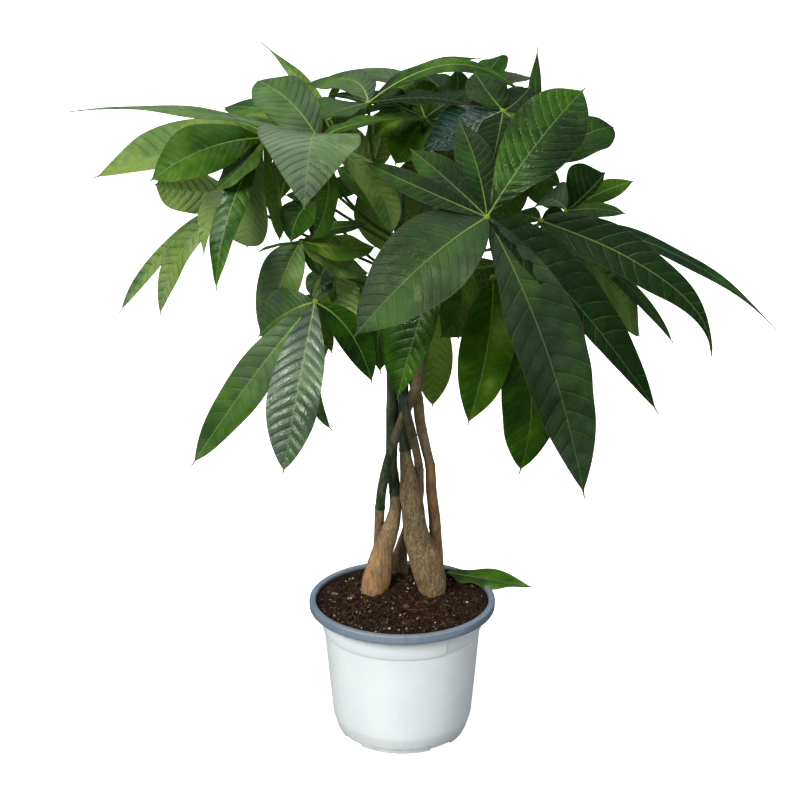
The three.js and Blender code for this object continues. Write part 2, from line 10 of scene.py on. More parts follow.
import bmesh
import bpy
import numpy as np
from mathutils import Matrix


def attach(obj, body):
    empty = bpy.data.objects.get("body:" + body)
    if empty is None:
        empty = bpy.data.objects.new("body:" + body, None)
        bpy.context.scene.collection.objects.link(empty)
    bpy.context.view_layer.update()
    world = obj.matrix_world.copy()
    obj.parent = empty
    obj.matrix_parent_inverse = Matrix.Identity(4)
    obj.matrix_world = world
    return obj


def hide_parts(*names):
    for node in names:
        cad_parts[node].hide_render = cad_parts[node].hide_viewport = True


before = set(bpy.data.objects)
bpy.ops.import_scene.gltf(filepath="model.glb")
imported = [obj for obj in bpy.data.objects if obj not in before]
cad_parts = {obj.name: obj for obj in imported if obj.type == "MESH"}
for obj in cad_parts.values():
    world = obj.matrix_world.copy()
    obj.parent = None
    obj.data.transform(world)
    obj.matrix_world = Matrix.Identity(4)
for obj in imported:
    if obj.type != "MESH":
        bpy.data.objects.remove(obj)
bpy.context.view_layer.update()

MM = 0.001

# ---------------------------------------------------------------- the front view
# A place is (across, down) in the 800 by 800 picture from the front, and how far it stands toward
# the viewer from the pot's axis, in millimetres.
VIEW_X = -2.0
VIEW_DISTANCE = 1500.0
VIEW_HEIGHT = 808.5
VIEW_PITCH = math.radians(18.07)
VIEW_FOCAL = 1788.0
VIEW_CENTRE = 400.0
PICTURE_WIDTH = 800.0
SENSOR_WIDTH = 36.0


def at(across, down, toward):
    """The point in space that is seen at a place of the picture."""
    right = across - VIEW_CENTRE
    rise = VIEW_CENTRE - down
    ray = np.array([
        right,
        VIEW_FOCAL * math.cos(VIEW_PITCH) + rise * math.sin(VIEW_PITCH),
        rise * math.cos(VIEW_PITCH) - VIEW_FOCAL * math.sin(VIEW_PITCH),
    ])
    eye = np.array([VIEW_X, -VIEW_DISTANCE, VIEW_HEIGHT])
    return eye + ray * (VIEW_DISTANCE - toward) / ray[1]


def unit(vectors):
    return vectors / np.maximum(np.linalg.norm(vectors, axis=-1, keepdims=True), 1e-12)


def facing(across, toward, up):
    return unit(np.array([across, -toward, up], float))


# ---------------------------------------------------------------- pot and soil sizes
# The pot's outline as [radius, height], from the middle of the underside out to the foot, up the
# wall to the rim, over it, and down the inside to the floor.
POT_UNDERSIDE = [
    (33.5, 0.0), (34.4, 0.6), (35.6, 3.6), (36.6, 4.0), (44.0, 4.0), (51.6, 4.0), (52.6, 3.4), (53.0, 0.6),
    (53.5, 0.0),
]
POT_WALL = [
    (57.3, 0.0), (58.0, 0.5), (58.7, 2.6), (59.2, 4.4), (60.1, 4.9), (60.5, 5.6), (61.4, 8.6), (62.6, 12.4),
    (63.6, 15.6), (64.3, 19.0), (65.0, 27.0), (66.2, 40.0), (67.4, 54.0), (68.6, 68.0), (69.8, 82.0),
    (70.9, 94.0), (71.35, 99.6), (71.45, 100.6), (72.5, 101.0), (72.8, 101.7), (73.3, 107.0),
    (73.8, 113.0), (74.1, 118.4), (74.5, 119.8), (75.6, 120.8), (78.4, 121.9), (81.4, 122.4), (82.3, 122.5),
]
POT_RIM = [
    (82.4, 122.1), (83.4, 121.8), (84.4, 122.1), (84.8, 122.9), (84.95, 124.2), (85.0, 127.8),
    (84.8, 129.0), (84.2, 129.7), (83.3, 130.0), (80.6, 130.0), (79.7, 129.8), (79.2, 129.2), (79.0, 128.2),
]
POT_INSIDE = [
    (78.8, 126.6), (78.2, 124.6), (76.4, 123.2), (73.6, 122.2), (72.8, 121.0), (72.3, 116.0), (69.9, 101.0),
    (66.0, 60.0), (62.4, 17.0), (58.2, 7.6), (56.0, 5.8), (36.0, 5.8),
]
POT_SIDES = 288
POT_CREASE = 24.0  # degrees; sharper bends are drawn as edges
BAND_BOTTOM = 101.0
BAND_TOP = 120.0
BAND_RADIUS = 71.0
STEP_BEARING = 33.1  # the band steps back here, in degrees to the right of the front
STEP_SPAN = 46.0
STEP_FADE = 8.0
STEP_DEPTH = 0.95
WALL_BULGE = 0.25
BULGE_SPAN = 60.0
# The pot's colours by zone.
WHITE, SLATE, INSIDE = 0.0, 1.0, 2.0
INSIDE_STEP = 1.25  # points this far within the outside of the wall are on its inside
FLOOR_TOP = 5.0
RIM_SKIRT = 122.05  # above this the rim is slate outside its inner edge, and higher up all round
RIM_INSIDE = 82.35
RIM_SHOULDER = 127.2
DRAIN_RADIUS = 3.5
DRAIN_CIRCLE = 43.0
DRAIN_COUNT = 8
DRAIN_MIDDLE = 4.0
DRAIN_CUT = 12.0
NOTCH_COUNT = 4
NOTCH_CIRCLE = 59.0
NOTCH_SIZE = (16.0, 24.0, 6.4)
NOTCH_TURN = -0.12

# The soil's outline inside the pot, as [radius, height], up to where its lumpy top begins.
SOIL_WALL = [
    (56.0, 6.2), (58.0, 8.2), (62.0, 17.0), (65.4, 60.0), (69.4, 101.0), (71.4, 115.0), (71.7, 121.6),
    (73.4, 122.9), (76.0, 123.9), (77.6, 124.8),
]
SOIL_SIDES = 300
SOIL_TOP_RINGS = np.linspace(77.8, 0.8, 92)
SOIL_EDGE = 125.6
SOIL_MOUND = 5.4
MOUND_SPREAD = 34.0
MOUND_TOWARD = -24.0
HEAP_HEIGHT = 7.0  # crumbs banked up between the two thick stems
HEAP_SPREAD = 13.0
HEAP_PLACE = (402, 583, -30)
# Lumps of the soil's top, as [height, span, seed, number of waves].
SOIL_LUMPS = [(1.7, 15, 21, 20), (1.0, 6, 22, 24), (0.7, 2.6, 23, 30)]
# Crumbs run from dark earth to chips of bark, mossy chips and white grains.
CRUMB_COUNT = 5200
CRUMB_REACH = 77.0
CRUMB_KINDS = [0.0, 0.25, 0.5, 0.72, 0.86, 1.0]
CRUMB_SHARES = [0.50, 0.34, 0.09, 0.035, 0.022, 0.013]
CRUMB_SIZE = 0.55
CRUMB_SIZE_SPREAD = (0.25, 0.5)
CRUMB_LARGEST = 3.2
CRUMB_JAGGED = 0.28
WHITE_GRAIN = 1.0
WHITE_GRAIN_SIZES = (0.6, 1.2)
FIBRE_COUNT = 90
FIBRE_STARTS = 72.0
FIBRE_REACH = 76.0
FIBRE_STEPS = 12
FIBRE_LENGTHS = (6, 20)
FIBRE_RADII = (0.16, 0.36)
FIBRE_KINDS = [0.28, 0.5, 0.66]

# ---------------------------------------------------------------- the stems
# Each stem has its route as [across, down, toward, radius], from the root in the soil to the
# growing tip, and its skin as [down, green, cracked, glow]: how green it is, how cracked its bark is
# and how orange it is.
STEMS = {
    "left_front": {
        "route": [
            (366, 624, -16, 5), (369, 608, -16, 7), (371.5, 597, -16, 9.2), (374, 587, -16, 11.6),
            (376.6, 577, -16, 12.8), (379, 566, -16, 11.6), (382.6, 552, -17, 9.8), (387, 538, -17, 9.1),
            (391.8, 524, -20, 7.4), (395, 511, -22, 5.8), (395.4, 497, -24, 5.3), (393.8, 480, -25, 5.3),
            (391.6, 462, -26, 5.2), (392.2, 430, -28, 5.6), (392.4, 390, -25, 5.3), (391.6, 360, -27, 5.1),
            (390, 315, -28, 4.9), (397, 275, -36, 4.6), (400, 235, -44, 4.2), (398, 190, -50, 3.4),
        ],
        "skin": [
            (620, 0.0, 0.35, 1.0), (585, 0.0, 0.35, 0.5), (545, 0.0, 0.35, 0.35), (522, 0.3, 0.3, 0.1),
            (497, 0.38, 0.3, 0.0), (489, 1.0, 0.0, 0.0), (190, 1.0, 0.0, 0.0),
        ],
    },
    "right_front": {
        "route": [
            (435.5, 628, -15, 5), (434.8, 610, -15, 6.5), (434, 600, -15, 9), (432.4, 589, -15, 12.2),
            (430, 578, -15, 14), (426, 565, -15, 14.5), (421.5, 551, -15, 13.8), (418, 538, -15, 12.4),
            (415.5, 525.7, -15, 11), (413, 509.6, -15, 10.6), (410.6, 494, -15, 9.6),
            (408.4, 476, -15, 7.6), (405.6, 456, -17, 5.5), (404, 435, -19, 5), (403.6, 405, -22, 4.6),
            (404, 380, -16, 4.5), (408, 350, -8, 4.5), (414, 320, 2, 4.4), (420, 285, 10, 4.3),
            (428, 250, 16, 4.1), (436, 215, 20, 3.8), (442, 185, 20, 3.2),
        ],
        "skin": [
            (620, 0.1, 0.7, 0.6), (580, 0.1, 0.9, 0.2), (540, 0.05, 1.0, 0.1), (490, 0.1, 0.9, 0.15),
            (470, 0.33, 0.7, 0.1), (451, 0.38, 0.3, 0.0), (447, 1.0, 0.0, 0.0), (185, 1.0, 0.0, 0.0),
        ],
    },
    "middle": {
        "route": [
            (398, 612, -52, 9), (398.5, 590, -52, 9.4), (399, 572, -51, 8), (400.5, 552, -48, 6.4),
            (405.5, 534, -44, 4.9), (412, 515, -39, 4.4), (419, 497, -33, 4.1), (419.6, 478, -27, 4.1),
            (418, 460, -16, 3.9), (414.8, 445, -8, 3.9), (411.2, 430, -2, 4), (406, 411, 0, 4),
            (401, 393, -2, 4), (396, 374, -4, 4), (389, 348, -5, 4.2), (386, 320, -3, 4.2),
            (390, 285, 1, 4.1), (396, 250, 5, 4), (400, 215, 7, 3.7), (402, 185, 7, 3.1),
        ],
        "skin": [
            (612, 0.0, 0.3, 0.3), (520, 0.1, 0.3, 0.1), (470, 0.3, 0.2, 0.0), (430, 0.5, 0.1, 0.0),
            (380, 0.75, 0.0, 0.0), (185, 1.0, 0.0, 0.0),
        ],
    },
    "left_back": {
        "route": [
            (376, 600, -42, 7), (376.5, 580, -41, 6.6), (377.5, 560, -39, 5.2), (378.5, 540, -34, 4.6),
            (379.5, 515, -26, 4.5), (381.5, 492, -17, 4.4), (386, 470, -9, 4.2), (391.5, 449, -5, 4),
            (397, 433, -6, 3.9), (403, 417, -9.5, 3.9), (410, 402, -11.5, 4.3), (416, 387, -12, 4.8),
            (419, 370, -14, 5), (422, 350, -16, 4.6), (428, 320, -20, 4.3), (440, 280, -22, 4.1),
            (453, 240, -24, 4), (463, 205, -26, 3.6), (469, 178, -28, 3),
        ],
        "skin": [
            (600, 0.0, 0.3, 0.3), (509, 0.0, 0.2, 0.25), (506, 1.0, 0.0, 0.0), (458, 1.0, 0.0, 0.0),
            (440, 0.52, 0.1, 0.0), (408, 0.4, 0.1, 0.0), (398, 0.1, 0.1, 0.0), (360, 0.6, 0.0, 0.0),
            (178, 1.0, 0.0, 0.0),
        ],
    },
    "right_back": {
        "route": [
            (436, 598, -44, 7.5), (436, 575, -43, 7.4), (436, 550, -41, 6.2), (435, 525, -37, 5.6),
            (433, 505, -33, 5.2), (431, 487, -30, 5), (429.8, 465, -26, 4.8), (425.7, 447, -22, 4.6),
            (420.4, 424, -22, 4.8), (417.6, 400, -25, 4.9), (413.5, 378, -28, 4.8), (408.5, 350, -32, 4.5),
            (407, 325, -36, 4.4), (412, 285, -44, 4.3), (420, 240, -52, 4.1), (428, 195, -58, 3.7),
            (432, 165, -62, 3.1),
        ],
        "skin": [
            (598, 0.0, 0.3, 0.5), (520, 0.0, 0.3, 0.35), (468, 0.0, 0.25, 0.65), (464, 0.28, 0.1, 0.0),
            (399, 0.2, 0.1, 0.0), (396, 0.0, 0.2, 0.0), (350, 0.1, 0.2, 0.0), (300, 0.8, 0.0, 0.0),
            (165, 1.0, 0.0, 0.0),
        ],
    },
}
# Rings left by old leaves, as [stem, down, how far the ring stands out].
SCARS = [
    ("left_back", 507.5, 0.35), ("right_back", 465.5, 0.5), ("right_back", 398, 0.6),
    ("right_back", 527, 0.5), ("right_front", 449, 0.5), ("left_front", 492, 0.4), ("left_front", 474, 0.4),
    ("left_front", 455, 0.3), ("middle", 470, 0.4), ("middle", 436, 0.35), ("middle", 402, 0.35),
    ("left_back", 474, 0.3), ("left_back", 440, 0.3), ("left_front", 410, 0.3), ("right_front", 414, 0.3),
    ("right_back", 430, 0.3), ("left_back", 409, 0.35),
]
SCAR_SPAN = 1.3
STEM_SIDES = 36
STEM_STEP = 1.2

# ---------------------------------------------------------------- the leaves
# A leaf is [name, stem, how far up the stem its stalk leaves, hub, the way its top side faces as
# [across, toward, up], its looks, leaflets]. A leaflet is [middle of the midrib across and down,
# tip across, down and toward, how far the middle stands nearer than its ends, width, the turn of
# its blade about the midrib in degrees], and then any looks of its own.
LEAVES = [
    ("front_right", "right_front", 0.9, (487, 217, 150), (0.08, 0.76, 0.64), dict(tone=0.24), [
        (421, 266, 354, 337, 178, 8, 68, 0, dict(tone=0.16, sheen=0.2, quilt=0.3, widest=0.46, fold=0.1)),
        (547, 352, 584.5, 498.5, 150, 10, 59, 0,
         dict(quilt=0.8, sheen=0.28, tone=0.04, widest=0.51, blunt=0.9, lean=0.14, fold=0.12)),
        (577.5, 305, 658.5, 414, 106, 12, 41, 0,
         dict(tone=-0.1, quilt=0.8, sheen=0.05, wave=0.02, widest=0.44, lean=0.36)),
        (535, 146, 585, 88, 104, 8, 57, 0,
         dict(tone=0.18, quilt=1.1, gloss=0.55, wave=0.1, fold=0.12, widest=0.62)),
        (477, 167, 459, 121, 84, 6, 31, 0, dict(tone=-0.1)),
        (448, 181, 410, 149, 104, 6, 28, 0, dict(tone=0.06, sheen=0.04, widest=0.6)),
        (424, 190, 363, 161, 122, 8, 22, 0, dict(tone=0.16, sheen=0.04)),
    ]),
    ("low_left", "middle", 0.72, (315, 302, 120), (-0.2, 0.9, 0.4), dict(tone=0.45), [
        (256, 373.5, 191.5, 466, 118, 12, 34, 0, dict(tone=0.36, sheen=0.55, quilt=0.4, blunt=0.74)),
        (298.5, 386, 282.5, 474.5, 172, 10, 43, 0,
         dict(lean=-0.08, blunt=0.78, quilt=1.1, gloss=0.75, sheen=0.8, tone=0.35)),
        (285, 314, 258, 337, 66, 20, 34, 0, dict(tone=0.4, sheen=0.4, lean=-0.3)),
        (350, 332, 372, 383, 104, 8, 27, 0, dict(tone=0.45)),
        (311, 382, 332, 430, 78, 6, 14, 0, dict(tone=0.6, sheen=0.8)),
        (324, 326, 332, 354, 96, 4, 12, 0, dict(tone=0.95)),
    ]),
    ("upper_left", "middle", 0.9, (318, 139, 100), (-0.1, 0.45, 0.88), dict(tone=0.5), [
        (311, 143, 304, 210, 185, 20, 78, -10,
         dict(quilt=0.9, widest=0.34, lean=-0.06, fold=0.06, sheen=1.0)),
        (289, 101, 256, 80, 60, 8, 47, 0, dict(quilt=0.8, sheen=0.5, lean=0.05, blunt=0.7)),
        (190, 111, 68, 112, 92, 6, 24, 20, dict(tone=0.66, sheen=0.7, widest=0.42, blunt=1.5, fold=0.1)),
        (372, 121, 436, 118, -16, 8, 30, -12, dict(tone=0.58)),
        (268, 112, 224, 108, -20, 0, 40, 0, dict(tone=0.62, gloss=0.7)),
        (374, 184, 392, 236, 128, 10, 27, 0, dict(tone=0.85, sheen=0.4, widest=0.6)),
        (328, 192, 311, 240, 66, 8, 36, 0, dict(tone=0.1)),
    ]),
    ("crown_left", "middle", 0.97, (368, 103, 0), (-0.1, 0.2, 0.97), dict(tone=0.4), [
        (452, 64, 523, 94, -52, 6, 20, 20, dict(tone=0.56, fold=0.1, lean=-0.1)),
        (350, 80, 303, 85, -70, 4, 46, 0, dict(sheen=0.5, lean=0.2)),
        (342, 110, 316, 120, 40, 6, 48, 0, dict(tone=0.24, sheen=0.2, lean=-0.3)),
        (351, 97, 330, 94, -10, 2, 14, 0, dict(tone=-0.3)),
        (420, 98, 468, 106, 40, 4, 28, 0, dict(tone=-0.2, gloss=0.1)),
        (428, 67, 482, 59, -110, 4, 27, 0, dict(tone=0.2)),
    ]),
    ("crown_right", "left_back", 0.97, (503, 111, 50), (0, 0.5, 0.86), dict(tone=0.25), [
        (463, 128, 421, 150, 50, 4, 46, 0, dict(tone=-0.3, quilt=1.3, gloss=1.4, sheen=-0.5, lean=-0.2)),
        (499, 133, 494, 157, 92, 6, 36, 0, dict(tone=-0.7, gloss=0.1)),
        (488, 92, 474, 71, 10, 4, 34, 0, dict(tone=0.15, quilt=1.1)),
        (516, 102, 531, 86, 10, 4, 32, 0, dict(tone=-0.4, gloss=0.1)),
        (511, 118, 518, 128, 66, 2, 12, 0),
    ]),
    ("high_right", "left_back", 0.92, (533, 168, -40), (0.3, 0, 0.95), dict(tone=0.35), [
        (535, 100, 537.5, 47, -64, 4, 23, 0, dict(tone=0.45, sheen=0.3, widest=0.5, blunt=1.5)),
        (579, 138, 614, 127, -76, 6, 41, 30, dict(tone=0.08, widest=0.56, blunt=0.7, lean=-0.1)),
        (546, 176, 561, 185, -30, 2, 18, 50, dict(tone=0.1)),
    ]),
    ("right_tuft", "left_back", 0.88, (567, 211, 14), (0.3, 0.75, 0.6), dict(tone=0.25), [
        (588, 192, 605, 173, 10, 14, 30, 0, dict(tone=-0.8, gloss=0.1, widest=0.62, lean=0.7)),
        (600, 193, 634, 181, -36, 4, 19, 0, dict(tone=0.55)),
        (550, 199, 531, 209, -20, 4, 32, 0, dict(sheen=0.3, tone=0.05, quilt=0.9, lean=-0.4)),
        (597, 209, 626, 214, 62, 4, 16, 20, dict(tone=0.1, sheen=0.2, widest=0.45, lean=-0.2)),
    ]),
    ("far_right", "left_back", 0.84, (541, 221, 70), (0.45, 0.45, 0.77), dict(tone=0.1), [
        (669, 284, 711, 356, 112, 14, 43, 22,
         dict(widest=0.22, blunt=1.5, tone=-0.7, quilt=0.7, sheen=-0.1)),
        (673, 253, 777, 330, 40, 6, 19, 0, dict(tone=0.05, sheen=-0.3, widest=0.45, wave=0.12, blunt=1.2)),
        (608, 282, 641, 337, 28, 8, 47, 10, dict(tone=0.7, sheen=0.6, widest=0.66)),
        (627, 285, 673, 344, -8, 8, 15, 20, dict(tone=0.2, sheen=0.3)),
        (529, 216, 515, 215, 40, 2, 17, -50, dict(tone=0.0)),
        (552, 214, 564, 212, 44, 2, 12, 40, dict(tone=0.0)),
    ]),
    ("low_right", "right_front", 0.8, (493, 278, 96), (0.2, 0.9, 0.4), dict(tone=0.4, gloss=0.4), [
        (487, 350, 467.5, 425, 96, 10, 47, 0, dict(tone=0.7, widest=0.5)),
        (530, 374, 519, 474, 62, 10, 56, 0, dict(tone=0.4, widest=0.62, lean=0.0, blunt=0.78, quilt=0.6)),
    ]),
    ("centre", "right_front", 0.86, (447, 252, 92), (-0.3, 0.85, 0.45), dict(tone=0.6, gloss=0.9), [
        (419, 322, 397, 400, 112, 10, 46, 0, dict(tone=0.42, quilt=1.1, lean=-0.34)),
        (462, 300, 440, 338, 60, 8, 44, 0, dict(tone=0.8)),
        (388, 302, 381, 374, 70, 10, 48, 0, dict(gloss=1.1)),
    ]),
    ("behind_stems", "right_back", 0.8, (440, 290, -66), (0, 0.9, 0.4), dict(tone=0.95, quilt=0.9), [
        (431, 350, 433, 408, -72, 6, 35, 0, dict(tone=1.5, widest=0.6, lean=0.15)),
        (448, 308, 459, 339, -52, 4, 24, 0),
    ]),
    ("left_inner", "middle", 0.78, (301, 241, 46), (-0.3, 0.5, 0.8), dict(tone=0.35), [
        (281, 284, 264, 345, 34, 10, 40, -30, dict(tone=0.62, sheen=0.45, widest=0.5, lean=-0.1)),
        (276, 245, 258, 252, 84, 2, 5, 0), (338, 248, 376, 247, 30, 4, 34, 0, dict(tone=0.75)),
        (337, 263, 369, 273, 20, 4, 35, 0, dict(tone=0.95, sheen=0.3, widest=0.46)),
        (312, 259, 322, 276, 36, 2, 13, 0, dict(tone=0.6, sheen=0.2)),
        (335, 229, 368, 224, 40, 4, 16, 0),
    ]),
    ("left_shade", "left_front", 0.76, (330, 262, -30), (-0.2, 0.7, 0.6), dict(tone=0.55, gloss=0.8), [
        (336, 300, 346, 340, 10, 6, 46, 0, dict(tone=1.1)),
        (319, 280, 317, 299, -10, 4, 24, 0, dict(tone=0.4)),
        (349, 291, 371, 318, 0, 6, 36, 0, dict(tone=0.85)),
    ]),
    ("centre_inner", "left_front", 0.92, (392, 222, -8), (-0.4, 0.3, 0.86), dict(tone=0.4), [
        (365, 189, 336, 167, -70, 8, 30, 0, dict(lean=-0.3)),
    ]),
    ("far_left", "left_front", 0.88, (264, 138, 40), (-0.35, 0.3, 0.88), dict(tone=0.6), [
        (179, 151, 94, 178, 6, 10, 38, -36, dict(tone=0.85, sheen=0.4, widest=0.5, lean=-0.4, quilt=0.5)),
        (205, 149, 149, 181, 62, 8, 48, -34, dict(tone=0.5, gloss=0.4, lean=0.0)),
        (229, 215, 216, 291, 106, 10, 25, -20, dict(tone=0.55, gloss=0.8, twist=34, widest=0.56)),
        (247.5, 202, 247, 248, 34, 8, 43, -40, dict(tone=1.4, sheen=0.7, widest=0.7, blunt=0.55)),
        (276, 200, 279, 241, 10, 6, 24, -40, dict(tone=1.4, lean=-0.3)),
        (241, 168, 216, 190, 74, 6, 35, 0, dict(tone=0.7, sheen=0.2)),
    ]),
    ("low_far_left", "left_front", 0.82, (240, 192, -26), (-0.5, 0.3, 0.8), dict(tone=0.75), [
        (187, 191, 155, 184, 4, 4, 46, -46, dict(tone=1.3, widest=0.56, quilt=1.3, sheen=0.5)),
        (212, 206, 204, 258, 36, 6, 23, -20, dict(tone=1.0, sheen=0.7, widest=0.42, blunt=1.1)),
        (171, 244, 119, 313, -70, 10, 18, -24, dict(sheen=0.9, tone=0.8, quilt=1.0, widest=0.68)),
        (181, 252, 160, 316, -34, 8, 24, -34, dict(sheen=0.9, tone=0.85, quilt=1.0)),
    ]),
    ("crown_back", "right_back", 0.97, (450, 118, -80), (0, 0.2, 0.97), dict(tone=0.4), [
        (486, 75, 502, 55, -100, 4, 32, 0, dict(tone=0.16, widest=0.62)),
        (500, 81, 531, 79, -120, 4, 36, 0, dict(tone=0.1, sheen=0.4)),
        (386, 77, 320, 79, -110, 4, 38, 0, dict(tone=0.25, sheen=0.5)),
        (500, 99, 524, 86, -70, 2, 26, 0, dict(tone=0.1)),
        (440, 90, 420, 74, -120, 4, 40, 0, dict(tone=0.0)),
        (457, 96, 457, 68, -98, 4, 28, 0, dict(tone=0.1)),
        (490, 100, 520, 96, -100, 4, 36, 0, dict(tone=0.1)),
    ]),
    ("crown_back_left", "left_front", 0.97, (330, 118, -96), (-0.4, 0.2, 0.9), dict(tone=1.0), [
        (299, 79, 261, 42, -130, 4, 14, 0, dict(tone=0.85, sheen=0.3, widest=0.42, blunt=1.9)),
        (354, 111, 384, 109, -78, 2, 24, 0, dict(tone=0.1)),
    ]),
    ("under_left", "middle", 0.83, (322, 196, 24), (-0.2, 0.5, 0.85), dict(tone=0.25), [
        (301, 212, 291, 243, 50, 6, 36, 0), (318, 216, 314, 246, 12, 6, 30, 0),
        (304, 196, 285, 195, 34, 2, 15, 0, dict(tone=0.1)),
    ]),
    ("crown_inner", "right_back", 0.93, (425, 118, -20), (0, 0.4, 0.9), dict(tone=0.2), [
        (398, 122, 374, 136, 0, 6, 42, 0, dict(tone=0.65)),
        (411, 139, 395, 165, 20, 6, 38, 0, dict(tone=0.65)),
        (448, 102, 472, 90, -44, 6, 40, 0, dict(tone=0.1)),
        (418, 96, 412, 78, -60, 4, 40, 0, dict(tone=0.5)),
        (438, 134, 446, 152, 10, 4, 30, 0), (393, 102, 371, 90, -40, 4, 36, 0, dict(tone=0.1)),
    ]),
    ("back_high_left", "left_front", 0.95, (322, 112, -120), (-0.4, -0.6, 0.7), dict(tone=0.5), [
        (292, 122, 262, 148, -160, -8, 38, 0), (296, 150, 280, 202, -176, -14, 42, 0),
        (318, 170, 314, 236, -160, -14, 36, 0), (340, 122, 356, 134, -156, -8, 30, 0),
        (336, 92, 346, 80, -150, -6, 34, 0),
    ]),
    ("back_middle_left", "left_front", 0.88, (368, 176, -150), (-0.3, -0.85, 0.4), dict(tone=0.45), [
        (344, 186, 322, 198, -200, -10, 36, 0), (372, 214, 392, 256, -206, -12, 34, 0),
        (398, 202, 424, 236, -216, -12, 42, 0), (380, 140, 390, 104, -190, -8, 38, 0, dict(tone=0.1)),
        (352, 148, 330, 128, -170, -8, 34, 0, dict(tone=0.1)),
    ]),
    ("back_middle", "right_back", 0.9, (432, 150, -170), (0, -0.85, 0.5), dict(tone=0.4, quilt=0.8), [
        (408, 136, 372, 130, -220, -10, 42, 0), (416, 186, 404, 236, -256, -16, 48, 0),
        (440, 196, 444, 256, -262, -16, 50, 0), (464, 186, 486, 232, -246, -14, 48, 0),
        (468, 142, 500, 140, -220, -10, 40, 0), (440, 116, 446, 84, -180, -6, 36, 0),
    ]),
    ("back_right", "left_back", 0.93, (520, 146, -130), (0.4, -0.75, 0.5), dict(tone=0.35), [
        (548, 128, 582, 122, -150, -8, 40, 0), (536, 186, 552, 210, -190, -14, 34, 0),
        (506, 186, 492, 240, -216, -14, 46, 0, dict(tone=0.05)),
        (492, 156, 460, 176, -200, -10, 42, 0), (518, 116, 516, 90, -140, -6, 34, 0),
    ]),
    ("back_low_right", "right_back", 0.84, (500, 262, -150), (0.3, -0.88, 0.35), dict(tone=0.3), [
        (486, 312, 474, 366, -200, -12, 44, 0), (512, 320, 528, 376, -196, -12, 48, 0),
        (540, 300, 572, 346, -176, -10, 46, 0), (548, 260, 596, 268, -150, -8, 42, 0),
        (470, 280, 446, 312, -176, -8, 38, 0, dict(tone=0.05)),
    ]),
    ("back_low_middle", "right_back", 0.76, (412, 270, -140), (0, -0.9, 0.4), dict(tone=0.4), [
        (398, 318, 394, 362, -186, -12, 42, 0), (424, 312, 436, 350, -190, -10, 42, 0),
        (388, 284, 366, 306, -160, -8, 36, 0), (446, 270, 474, 292, -170, -8, 38, 0),
    ]),
    ("back_low_left", "left_front", 0.78, (334, 292, -120), (-0.4, -0.85, 0.35), dict(tone=0.5), [
        (304, 306, 276, 326, -150, -8, 34, 0), (302, 342, 278, 396, -170, -12, 42, 0),
        (312, 342, 302, 390, -176, -10, 40, 0), (352, 326, 372, 356, -160, -8, 36, 0),
        (352, 286, 378, 300, -150, -6, 30, 0),
    ]),
    ("back_side_left", "left_front", 0.9, (282, 146, -80), (-0.8, -0.3, 0.5), dict(tone=0.6), [
        (244, 146, 208, 158, -100, -6, 36, 0), (258, 176, 240, 222, -130, -8, 40, 0),
        (278, 168, 276, 200, -160, -10, 36, 0), (256, 128, 232, 122, -130, -6, 34, 0),
    ]),
    ("back_side_right", "left_back", 0.8, (568, 246, -56), (0.8, -0.4, 0.4), dict(tone=0.3), [
        (604, 242, 644, 262, -90, -6, 42, 0), (596, 268, 622, 306, -116, -8, 40, 0),
        (564, 290, 560, 344, -146, -10, 44, 0), (540, 272, 516, 306, -140, -8, 38, 0),
    ]),
]
# What a leaflet is like unless its row says otherwise. For its colour: tone, about 0 when dark and 1
# when light and yellowish (a little past either for the darkest and lightest blades), which is partly
# the blade's own colour and partly painted light and shade, as leaflets lying in shade are given
# lighter tones and some others darker; gloss; and sheen, a painted grey reflection of the sky (a
# painted blue one, below 0). For its shape: quilt and wave heights of the blade, how far it folds up
# along the rib, how far along it is widest, how blunt its tip is (a square end at 0, a long thin point
# at 2), how much broader its left half is than its right, and how many degrees the blade turns on
# either side of its middle.
PLAIN_LOOKS = dict(
    tone=0.4, gloss=0.3, sheen=0.0, quilt=0.6, wave=0.09, fold=0.18, widest=0.56, blunt=0.86, lean=0.0,
    twist=0.0)

# The loose leaflet on the soil: its base, middle and tip, the way it faces, its width and looks.
FALLEN_BASE = (447, 572, -56)
FALLEN_MIDDLE = (482, 578, -39)
FALLEN_TIP = (534, 587, -22)
FALLEN_FACES = (0.05, 0.12, 1)
FALLEN_WIDTH = 34.0
FALLEN_LOOKS = dict(tone=0.6, quilt=0.3, wave=0.14)

STALK_RADIUS = 1.7
STALK_GAP = 0.6
STALK_SIDES = 12
STALK_STEPS = 40
HUB_RADIUS = 2.7
BLADE_THICKNESS = 0.45
RIB_RADIUS = 0.85
RIB_DEPTH = 1.5
RIB_GROOVE = 0.22
ROW_STEP = 1.9
ROW_LIMITS = (26, 120)
SIDE_COLUMNS = 11
# Side veins run out from the rib at a slant, bend up near the margin, and alternate left and right.
VEIN_GAP = 7.0
VEINS_PER_BLADE = 15
VEIN_SLANT = 0.5
VEIN_BEND = 0.3
VEIN_SHIFT = 0.43
VEIN_WANDER = 0.12
VEIN_RIDGE = 0.3
QUILT_HEIGHT = 1.25
FULL_WIDTH = 40.0  # narrower leaflets are quilted less
SWAY_HEIGHT = 0.7
MARGIN_WAVES = (1.6, 3.2)
TWIST_SCATTER = 5.0
TONE_SCATTER = 0.05
DRIP_LENGTH = 0.03
DRIP_WIDTH = 0.06
MARGIN_UNEVEN = 0.035


